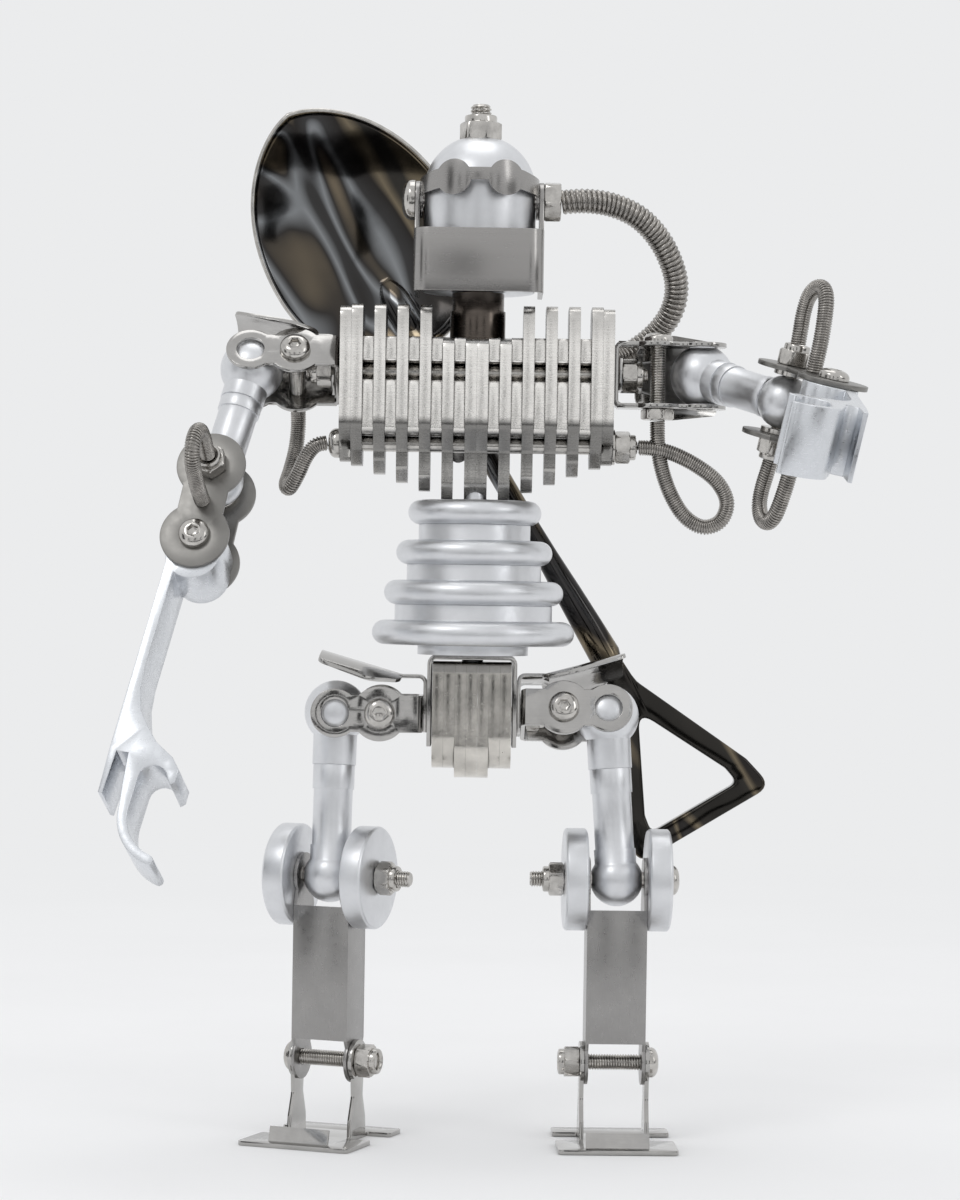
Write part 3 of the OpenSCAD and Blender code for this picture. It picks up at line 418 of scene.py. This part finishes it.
def button(d, h, flats, place, shape, turn=0.0):
    """A domed screw head from z = 0 down to -h, with a hexagon socket."""
    n = 72
    dome, skirt = radians(66), 0.3 * h
    place = place @ np.array(Matrix.Rotation(turn, 4, "Z"))
    profile = [(d / 2 - 0.12, 0), (d / 2, -0.08), (d / 2, -skirt)]
    for i in range(1, 9):
        t = i / 8 * dome
        profile.append((d / 2 * cos(t) ** 0.75, -skirt - (0.7 * h) * sin(t) / sin(dome)))
    rings = [ring(r, z, n) for r, z in profile]
    rings += [ring(hexagon(flats + 0.35), -h + 0.005, n), ring(hexagon(flats), -h + 0.14, n),
              ring(hexagon(flats), -0.38 * h, n), ring(0.3 * flats, -0.25 * h, n)]
    shape.add(*tube([r[::-1] for r in rings]), place)


def washer(outer, inner, z0, z1, place, shape, n=48):
    """A flat washer with its outer edges broken."""
    edge = 0.08
    rings = [ring(inner, z0, n), ring(outer - edge, z0, n), ring(outer, z0 + edge, n), ring(outer, z1 - edge, n),
             ring(outer - edge, z1, n), ring(inner, z1, n)]
    shape.add(*tube(rings, loop=True), place)


def spline(points, step):
    """Catmull-Rom through the points, resampled to about step."""
    p = np.asarray(points, float)
    p = np.vstack([2 * p[0] - p[1], p, 2 * p[-1] - p[-2]])
    out = []
    for i in range(1, len(p) - 2):
        for t in np.linspace(0, 1, 24, endpoint=False):
            out.append(0.5 * (2 * p[i] + (p[i + 1] - p[i - 1]) * t
                              + (2 * p[i - 1] - 5 * p[i] + 4 * p[i + 1] - p[i + 2]) * t ** 2
                              + (3 * p[i] - p[i - 1] - 3 * p[i + 1] + p[i + 2]) * t ** 3))
    out.append(p[-2])
    out = np.array(out)
    d = np.concatenate([[0], np.cumsum(np.linalg.norm(np.diff(out, axis=0), axis=1))])
    n = max(2, int(round(d[-1] / step)))
    s = np.linspace(0, d[-1], n + 1)
    return np.stack([np.interp(s, d, out[:, k]) for k in range(3)], 1), d[-1]


def carried_frames(line):
    """Tangents, and side vectors carried along the line without twist."""
    t = np.gradient(line, axis=0)
    t /= np.linalg.norm(t, axis=1)[:, None]
    u = np.cross(t[0], (0.3, 0.9, 0.2))
    sides = []
    for v in t:
        u = u - v * (u @ v)
        u /= np.linalg.norm(u)
        sides.append(u)
    return t, np.array(sides)


def coil(points, d, wire, pitch, shape, place=None, around=14, sides=6):
    """A close-wound spring along a route: one wire wound round it, and a dark core inside."""
    line, _ = spline(points, pitch / around)
    t, u = carried_frames(line)
    w = np.cross(t, u)
    a = np.arange(len(line)) * tau / around
    out = np.cos(a)[:, None] * u + np.sin(a)[:, None] * w
    centre = line + out * (d - wire) / 2
    along = np.gradient(centre, axis=0)
    along /= np.linalg.norm(along, axis=1)[:, None]
    third = np.cross(along, out)
    rings = []
    for k in range(len(line)):
        b = np.arange(sides) * tau / sides
        rings.append(centre[k] + wire / 2 * (np.cos(b)[:, None] * out[k] + np.sin(b)[:, None] * third[k]))
    shape.add(*tube(rings), place)
    core_line, _ = spline(points, d / 3)
    t, u = carried_frames(core_line)
    w = np.cross(t, u)
    b = np.arange(12) * tau / 12
    core = [c + (d / 2 - 0.62 * wire) * (np.cos(b)[:, None] * u[k] + np.sin(b)[:, None] * w[k])
            for k, c in enumerate(core_line)]
    shape.add(*tube(core), place)


# ---------------------------------------------------------------- frames from the joints
def joint(name):
    j = JOINTS[name]
    pos = np.array(j.get("pos_m", (0, 0, 0))) / MM - FIGURE_AT
    return pos, np.array(j["axis"], float)


def bracket_frame(side, limb):
    """Frame of a bracket's ball: x outwards, y towards the nut's side."""
    where = {"arm": "shoulder", "leg": "hip"}[limb]
    pos, axis = joint(f"{where}_swing_{side}")
    way = OUTWARD[side]
    place = np.eye(4)
    x, y = np.array([way, 0, 0], float), way * axis
    place[:3, 0], place[:3, 1], place[:3, 2], place[:3, 3] = x, y, np.cross(x, y) * way, pos
    return place


M3, M4 = 1.5, 2.0                              # thread radii
PITCH3, PITCH4 = 0.5, 0.7
NUT3, NUT4 = 5.5, 7.0                          # across flats
HEAD3 = (5.7, 1.8, 2.0)                        # button head: diameter, height, socket across flats
LOCK_NUT3, PLAIN_NUT3 = 4.0, 2.1               # heights
SLIP = 0.02                                    # a hair of room between fastener and part
X = np.array([1.0, 0, 0])
PLATE_OUT = 6.3                                # outer face of a bracket's plates
SCREW_X = -8.4                                 # clamp screw, from the ball's centre
CHEST_Z, SHOULDER_Z, HIP_Z = 131.4, 145.1, 80.3
CROWN_AT = (0, 0, 189.2)

# ---------------------------------------------------------------- head and torso fasteners
ear_z = joint("jaw_tilt")[0][2]
s = Shape()
up = towards(CROWN_AT, (0, 0, 1), X)
thread(M4, 3.9, 6.8, PITCH4, up, s, n=28)
rod(M4 - 0.25, -6.5, 4.0, up, s)
nut(NUT4, 4.8, M4, 0, up, s, turn=0.35)
s.piece("crown_bolt_threads", BOLT, "head", ["crown_bolt"], "fastener_steel")

s = Shape()
ear = towards((-12.25, 0, ear_z), X)
button(7.6, 2.4, 2.5, ear, s)
rod(M4 - 0.05, 0, 25.0, ear, s)
nut(NUT4, 3.2, M4 - 0.03, 24.5, ear, s, lock=False, turn=0.2)
thread(M4, 24.6, 27.6, PITCH4, ear, s, n=28)
s.piece("ear_bolt_threads", BOLT, "head", ["ear_bolt"], "fastener_steel")

s = Shape()
chest = towards((-25.87, 0, CHEST_Z), X)
button(5.7, 2.1, 2.0, chest, s)
rod(M3, 0, 51.8, chest, s)
washer(3.4, M3, 51.76, 52.24, chest, s)
nut(NUT3, LOCK_NUT3, M3 - SLIP, 52.26, chest, s, turn=0.3)
thread(M3, 52.3, 56.5, PITCH3, chest, s)
s.piece("chest_bolt_threads", BOLT, "torso", ["chest_bolt"], "fastener_steel")

s = Shape()
across = towards((0, 0, SHOULDER_Z), X)
rod(M3, -25.8, 25.8, across, s)
for side in (-1, 1):
    out = towards((0, 0, SHOULDER_Z), side * X)
    thread(M3, 25.8, 32.4, PITCH3, out, s)
    nut(NUT3, LOCK_NUT3, M3 - SLIP, 27.56, out, s, turn=0.4)
s.piece("shoulder_bolt_threads", BOLT, "torso", ["shoulder_bolt"], "fastener_steel")

s = Shape()
for side in (-1, 1):
    out = towards((0, 0, HIP_Z), side * X)
    thread(M3, 9.0, 15.5, PITCH3, out, s)
    nut(NUT3, 3.7, M3 - SLIP, 10.2, out, s, turn=0.15)
rod(M3, -9.1, 9.1, towards((0, 0, HIP_Z), X), s)
s.piece("hip_bolt_threads", BOLT, "pelvis", ["hip_bolt"], "fastener_steel")

# ---------------------------------------------------------------- clamp screws
for side in SIDES:
    for limb, where in (("arm", "shoulder"), ("leg", "hip")):
        f = bracket_frame(side, limb)
        base = f[:3, 3] + f[:3, 0] * SCREW_X - f[:3, 1] * (PLATE_OUT + SLIP)
        place = towards(base, f[:3, 1], f[:3, 0])
        s = Shape()
        button(*HEAD3, place, s, turn=0.5)
        thread(M3, 0.0, 14.7, PITCH3, place, s)
        nut(NUT3, PLAIN_NUT3, M3 - SLIP, 12.64, place, s, lock=False, turn=0.7)
        s.piece(f"{where}_screw_{side}_threads", BOLT, f"{where}_{side}", [f"{where}_screw_{side}"], "fastener_steel")

# ---------------------------------------------------------------- elbow bolts
LINK_OUT = 6.9                                 # outer face of the elbow links
for side in SIDES:
    e, axis = joint(f"elbow_upper_{side}")
    f, _ = joint(f"elbow_lower_{side}")
    y = OUTWARD[side] * axis
    s = Shape()
    for way in (-1, 1):
        place = towards(e, way * y, e - f)
        thread(M3, 0, 10.2, PITCH3, place, s)
        nut(NUT3, LOCK_NUT3, M3 - SLIP, LINK_OUT + SLIP, place, s, turn=0.25 * way)
        washer(3.2, M3, 4.98, 5.98, place, s)
    place = towards(f - y * (LINK_OUT + SLIP), y, e - f)
    button(*HEAD3, place, s, turn=0.2)
    thread(M3, 0, 2 * LINK_OUT + 2.6, PITCH3, place, s)
    nut(NUT3, PLAIN_NUT3, M3 - SLIP, 2 * LINK_OUT + 0.04, place, s, lock=False, turn=0.1)
    s.piece(f"elbow_bolts_{side}_threads", BOLT, f"elbow_{side}", [f"elbow_bolts_{side}"], "fastener_steel")

# ---------------------------------------------------------------- knee and ankle bolts
SHIN_HALF, DISC_GAP, DISC_THICK = 5.65, 0.05, 4.3
EAR_GAP, EAR_THICK = 0.1, 0.8
DISC_OUT = SHIN_HALF + DISC_GAP + DISC_THICK
for side in SIDES:
    k, axis = joint(f"knee_{side}")
    a, _ = joint(f"ankle_{side}")
    out = axis * OUTWARD[side]
    s = Shape()
    half = DISC_OUT + SLIP
    place = towards(k + out * half, -out)
    button(*HEAD3, place, s, turn=0.3)
    rod(M3, 0, 2 * half - 0.1, place, s)
    thread(M3, 2 * half - 0.2, 2 * half + 6.4, PITCH3, place, s)
    nut(NUT3, LOCK_NUT3, M3 - SLIP, 2 * half, place, s, turn=0.45)
    half = SHIN_HALF + EAR_GAP + EAR_THICK + SLIP
    place = towards(a + out * half, -out)
    button(*HEAD3, place, s, turn=0.1)
    thread(M3, 0, 2 * half + 3.4, PITCH3, place, s)
    nut(NUT3, LOCK_NUT3, M3 - SLIP, 2 * half, place, s, turn=0.2)
    s.piece(f"leg_bolts_{side}_threads", BOLT, f"shin_{side}", [f"leg_bolts_{side}"], "fastener_steel")

# ---------------------------------------------------------------- hoses, on the CAD's routes
HEAD_HOSE_D, HEAD_HOSE_WIRE = 4.8, 0.92
HOSE_D, HOSE_WIRE = 3.0, 0.46
HEAD_HOSE = [
    (15.7, 0, 177.8), (20, 0, 178.1), (25, 1, 177.6), (30, 2, 175.6), (34, 3.5, 172), (36.7, 5, 167.5),
    (38, 6.5, 163), (37.4, 8, 158.5), (35, 9.9, 154.6), (31.4, 10.6, 151.4), (28.2, 10.6, 149.6),
    (25.8, 9.5, 148.9), (24.7, 7.8, 148.6), (24.5, 5.6, 148.5),
]
SHOULDER_HOSE = {
    "left": [
        (-34.4, 6.9, 140), (-34.4, 9.4, 138), (-34.4, 10.4, 134.6), (-34.8, 9.8, 130.4), (-35.6, 7.8, 126.4),
        (-36.2, 5, 123.6), (-35.4, 2.6, 122.9), (-33.8, 1, 125.4), (-32.2, 0.3, 128.8), (-30.4, 0, 130.9),
        (-28.3, 0, 131.4),
    ],
    "right": [
        (34.4, 0, 136.4), (34.6, 0.3, 132), (35.4, 1, 127.6), (37.2, 2, 122.8), (40, 3, 118.6), (43.6, 3.4, 116.6),
        (46.9, 3, 117.8), (48, 2.2, 121.4), (46, 1.4, 125.2), (42, 0.8, 128.2), (37.4, 0.2, 130.4),
        (33.6, 0, 131.3), (30.9, 0, 131.4),
    ],
}
ELBOW_HOSE = [
    (0, -10.95, 0), (0, -13.6, 0.3), (0.1, -16.6, 0.8), (0.2, -19.6, 0.6), (0.2, -21.7, -1.2), (0.2, -22, -3.7),
    (0.1, -20.3, -5.7), (0, -17, -6.8), (0, -12.5, -7.4), (0, -6.95, -7.5),
]


def wound_hose(name, route, d, wire, body, replaced, place=None):
    """A hose as its wound wire, which goes back into the object at its far end; returns the piece and its route's two
    ends in metres.
    """
    s = Shape()
    coil(route, d, wire, 1.01 * wire, s, place, around=16 if d > 4 else 14)
    piece = s.piece(name, WIRE, body, [replaced], "spring_wire", sharp=80)
    line, length = spline(route, 0.4)
    if place is not None:
        line = line @ place[:3, :3].T + place[:3, 3]
    path = (line + FIGURE_AT) * MM
    return piece, tuple(path[0]), tuple(path[-1])


hose, start, end = wound_hose("head_hose_coil", HEAD_HOSE, HEAD_HOSE_D, HEAD_HOSE_WIRE, None,
                              "head_hose")
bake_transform(hose)
for side in SIDES:
    hose, start, end = wound_hose(f"shoulder_hose_{side}_coil", SHOULDER_HOSE[side], HOSE_D, HOSE_WIRE, None,
                                  f"shoulder_hose_{side}")
    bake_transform(hose)
    e, axis = joint(f"elbow_upper_{side}")
    f, _ = joint(f"elbow_lower_{side}")
    y, z = OUTWARD[side] * axis, (e - f) / np.linalg.norm(e - f)
    for where, way in (("front", 1), ("back", -1)):
        if side == "left" and where == "back":
            continue
        place = np.eye(4)
        place[:3, 0], place[:3, 1], place[:3, 2], place[:3, 3] = np.cross(y, z) * OUTWARD[side], y * way, z, e
        wound_hose(f"elbow_hose_{side}_{where}_coil", ELBOW_HOSE, HOSE_D, HOSE_WIRE, f"elbow_{side}",
                   "elbow_hose_left" if side == "left" else "elbow_hoses_right", place)

# ---------------------------------------------------------------- shovel
GRIP_AT = np.array([45.4, 13.0, 59.1])
SHOVEL_L, BOWL_U, BOWL_R, SHAFT_R = 159.6, 134.0, 60.0, 2.0
BLADE_CENTRE = np.array([0.0, BOWL_U + 2])
EDGE_POINTS = 240
shovel_place = np.eye(4)
shovel_place[:3, :3] = [[cos(LEAN), 0, -sin(LEAN)], [0, 1, 0], [sin(LEAN), 0, cos(LEAN)]]
shovel_place[:3, 3] = GRIP_AT


def bowl_edge(n):
    """The blade's outline (across, along) as n points, from the shaft up one side and round."""
    side = []
    for a in np.linspace(0, pi / 2, n // 4, endpoint=False):
        side.append((SHAFT_R + 17.5 * sin(a), BOWL_U - 4 - 23 * cos(a)))
    for a in np.linspace(0, pi / 2, n // 4):
        side.append((19.5 * cos(a), BOWL_U - 4 + (SHOVEL_L - BOWL_U + 4) * sin(a) * (1 - 0.05 * sin(2 * a))))
    return side + [(-v, u) for v, u in side[-2::-1]]


def bowl_depth(v, u):
    """How far the blade's middle surface lies behind the shaft at (across, along): part of a sphere."""
    d = BOWL_R - np.sqrt(BOWL_R ** 2 - v ** 2 - (u - BOWL_U + 1) ** 2)
    return 6.2 - d


def blade(shape):
    """The dished blade, with the socket's tongue and ridge running into it and a raised rim."""
    edge = np.array(bowl_edge(EDGE_POINTS))
    centre = BLADE_CENTRE
    thick = 0.9
    rings = []
    steps = np.concatenate([np.linspace(0.02, 0.94, 46), np.linspace(0.95, 1, 8)])
    for side_, order in ((1, steps), (-1, steps[::-1])):
        for q in order:
            p = centre + (edge - centre) * q
            v, u = p[:, 0], p[:, 1]
            low = np.clip((BOWL_U - 6 - u) / 24, 0, 1)
            tongue = np.sqrt(np.clip(1 - (v / 2.8) ** 2 - (np.clip(u - 117, 0, None) / 6) ** 2, 0, None))
            ridge = 1.7 * tongue ** 1.3 + 2.0 * np.exp(-(v / 6.0) ** 2) * low ** 1.2
            rim = 0.55 * np.clip((q - 0.95) / 0.02, 0, 1)
            round_edge = side_ * (thick / 2) * sqrt(max(0.0, 1 - max(0.0, (q - 0.985) / 0.015) ** 2))
            y = bowl_depth(v, u) - thick / 2 - ridge - rim - round_edge
            rings.append(np.stack([v, y, u], 1))
    shape.add(*tube(rings), shovel_place)


def edge_bead(shape, r=0.45, n=10):
    """The raised bead round the blade's outline: real geometry, whose bright steel against the blade's painted dark
    is a painted highlight along the rim.
    """
    edge = np.array(bowl_edge(EDGE_POINTS))
    out = edge - BLADE_CENTRE
    out = out / np.linalg.norm(out, axis=1)[:, None]
    edge = edge - 0.2 * out
    y = bowl_depth(edge[:, 0], edge[:, 1]) - 1.0
    rings = [np.stack([edge[:, 0] + r * cos(a) * out[:, 0], y + r * sin(a), edge[:, 1] + r * cos(a) * out[:, 1]], 1)
             for a in np.arange(n) * tau / n]
    shape.add(*tube(rings, loop=True), shovel_place)


def oval(u, wide, deep, y=0.0, n=24, v=0.0):
    a = np.arange(n) * tau / n
    return np.stack([v + wide * np.cos(a), y + deep * np.sin(a), np.full(n, u)], 1)


s = Shape()
blade(s)
shaft = [oval(u, w, d, y) for u, w, d, y in (
    (35.0, 2.2, 1.9, 0), (38.0, 3.1, 2.4, 0), (44.0, 2.9, 2.4, 0), (52.0, 2.6, 2.2, 0), (60.0, 2.2, 2.05, 0),
    (67.0, 2.0, 2.0, 0), (88.0, 2.0, 2.0, 0), (103.0, 2.0, 2.0, 0), (108.0, 2.3, 1.9, 0.1), (112.0, 2.4, 1.7, 0.5),
    (115.0, 2.2, 1.5, 1.2))]
s.add(*tube(shaft), shovel_place)


def grip_loop(shape, centre=(0.0, 11.0), thick=2.0, soft=0.7, n=320):
    """The D grip: the flat stock between two outlines, with rounded edges, cut by rays from the centre."""
    outer = [(15, 0, 3), (13.5, 7, 4), (2.6, 31, 6), (2.2, 40, 0.8)]
    inner = [(9.6, 4, 1.5), (9, 7.5, 2.5), (0, 25.5, 1.8)]
    loops = []
    for half in (outer, inner):
        left_half = [(-v, u, r) for v, u, r in reversed(half) if v > 0]
        corners = np.array([(v, u) for v, u, _ in half] + [(v, u) for v, u, _ in left_half])
        radii = [r for *_, r in half] + [r for *_, r in left_half]
        outline = []
        for k, b in enumerate(corners):
            a, c = corners[k - 1], corners[(k + 1) % len(corners)]
            u, v = (a - b) / np.linalg.norm(a - b), (c - b) / np.linalg.norm(c - b)
            cut = min(radii[k] / np.tan(acos(u @ v) / 2), 0.45 * np.linalg.norm(a - b), 0.45 * np.linalg.norm(c - b))
            for t in np.linspace(0, 1, 7):
                outline.append((1 - t) ** 2 * (b + u * cut) + 2 * t * (1 - t) * b + t ** 2 * (b + v * cut))
        outline = np.array(outline) - centre
        after = np.roll(outline, -1, 0)
        loop = []
        for angle in np.arange(n) * tau / n:
            d = np.array((cos(angle), sin(angle)))
            e = after - outline
            den = d[0] * e[:, 1] - d[1] * e[:, 0]
            den = np.where(np.abs(den) < 1e-9, 1e-9, den)
            far = (outline[:, 0] * e[:, 1] - outline[:, 1] * e[:, 0]) / den
            where = (outline[:, 0] * d[1] - outline[:, 1] * d[0]) / den
            hit = far[(far > 0) & (where >= -1e-6) & (where <= 1 + 1e-6)]
            loop.append(d * hit.max() + centre)
        loops.append(np.array(loop))
    rim, hole = loops
    way = (rim - hole) / np.linalg.norm(rim - hole, axis=1)[:, None]
    rings = []
    for base, sign, order in ((rim, 1, 1), (hole, -1, -1)):
        straight = [(0, -thick + soft), (0, thick - soft)]
        lower = [(soft * (1 - cos(t)), -thick + soft * (1 - sin(t))) for t in np.linspace(pi / 2, 0.3, 4)]
        upper = [(soft * (1 - cos(t)), thick - soft * (1 - sin(t))) for t in np.linspace(0.3, pi / 2, 4)]
        for inset, y in (lower + straight + upper)[::order]:
            p = base - sign * way * inset
            rings.append(np.stack([p[:, 0], np.full(n, y), p[:, 1]], 1))
    shape.add(*tube(rings, loop=True), shovel_place)


grip_loop(s)
s.piece("shovel_polished", PAINTED_REFLECTION_POLISH, "shovel", ["shovel"], "dark_polish", sharp=50)
# the bead's bright steel is a painted highlight along the blade's rim
s = Shape()
edge_bead(s)
s.piece("shovel_edge", BOLT, "shovel", ["shovel"], "fastener_steel", sharp=60)

# ---------------------------------------------------------------- stage and light
BACKDROP = (0.832, 0.838, 0.846)
LIT_POINT = (0, 0, 0.1)                        # what the lights and cards are turned to, in metres
FLOOR_HALF, FLOOR_Z = 6.0, -0.00005

# The floor is matt near the figure and fades into the backdrop's own light further out
floor_mat, tree, shader = new_material("pale_floor")
tint = mix_colour(tree, ramp(tree, noise(tree, 6, 4.0), 0.3, 0.7, 0, 1), (0.88, 0.88, 0.885), (0.92, 0.92, 0.925))
tree.links.new(tint, shader.inputs["Base Color"])
shader.inputs["Roughness"].default_value = 0.6
shader.inputs["Specular IOR Level"].default_value = 0.0
place_node = node(tree, "ShaderNodeNewGeometry")
far = node(tree, "ShaderNodeVectorMath", operation="LENGTH")
tree.links.new(place_node.outputs["Position"], far.inputs[0])
glow = node(tree, "ShaderNodeEmission", Color=(*BACKDROP, 1), Strength=1.0)
blend = node(tree, "ShaderNodeMixShader")
tree.links.new(ramp(tree, far.outputs["Value"], 0.2, 0.75, 0, 1), blend.inputs["Fac"])
tree.links.new(shader.outputs["BSDF"], blend.inputs[1])
tree.links.new(glow.outputs["Emission"], blend.inputs[2])
tree.links.new(blend.outputs["Shader"], tree.nodes["Material Output"].inputs["Surface"])
mesh = bpy.data.meshes.new("floor")
mesh.from_pydata([(x * FLOOR_HALF, y * FLOOR_HALF, FLOOR_Z) for x, y in ((-1, -1), (1, -1), (1, 1), (-1, 1))], [],
                 [(0, 1, 2, 3)])
mesh.materials.append(floor_mat)
floor = bpy.data.objects.new("floor", mesh)
scene.collection.objects.link(floor)

world = bpy.data.worlds.new("studio")
world.use_nodes = True
scene.world = world
back = world.node_tree.nodes["Background"]
back.inputs["Color"].default_value = (*BACKDROP, 1)
back.inputs["Strength"].default_value = 1.0


def card(name, centre, size, colour, flat=False):
    """A matt card outside the picture that the metal reflects."""
    mat, _, surface = new_material(name)
    surface.inputs["Base Color"].default_value = (*colour, 1)
    surface.inputs["Roughness"].default_value = 1.0
    surface.inputs["Specular IOR Level"].default_value = 0.0
    m = bpy.data.meshes.new(name)
    w, h = size[0] / 2, size[1] / 2
    m.from_pydata([(-w, -h, 0), (w, -h, 0), (w, h, 0), (-w, h, 0)], [], [(0, 1, 2, 3)])
    m.materials.append(mat)
    obj = bpy.data.objects.new(name, m)
    scene.collection.objects.link(obj)
    obj.location = centre
    obj.rotation_mode = "QUATERNION"
    if not flat:
        obj.rotation_quaternion = (Vector(LIT_POINT) - Vector(centre)).to_track_quat("Z", "Y")
    obj.visible_camera = False
    obj.visible_shadow = False
    obj.visible_diffuse = False


NEAR_BLACK = (0.03, 0.03, 0.03)
for k, card_x in enumerate((-0.75, -0.1, 0.6)):
    card(f"dark_card_front_{k}", (card_x, -1.2, 0.1), (0.16, 0.7), NEAR_BLACK)
card("dark_card_low", (0.0, -0.42, 0.004), (0.7, 0.3), NEAR_BLACK, flat=True)
card("dark_card_left", (-1.0, -0.5, 0.15), (0.35, 0.8), (0.05, 0.05, 0.05))
card("dark_card_right", (1.0, -0.35, 0.0), (0.5, 0.5), (0.12, 0.12, 0.12))


def area(name, centre, size, power):
    """A rectangular light aimed at the figure's middle."""
    data = bpy.data.lights.new(name, "AREA")
    data.energy = power
    data.shape = "RECTANGLE"
    data.size, data.size_y = size
    obj = bpy.data.objects.new(name, data)
    scene.collection.objects.link(obj)
    obj.location = centre
    obj.rotation_mode = "QUATERNION"
    obj.rotation_quaternion = (Vector(LIT_POINT) - Vector(centre)).to_track_quat("-Z", "Y")


area("key", (-0.5, -0.6, 0.95), (0.3, 0.3), 1.2)
area("fill", (0.8, -0.5, 0.5), (0.2, 0.5), 0.6)
area("top", (0, 0.2, 1.0), (0.5, 0.5), 1.0)

scene.view_settings.view_transform = "Standard"
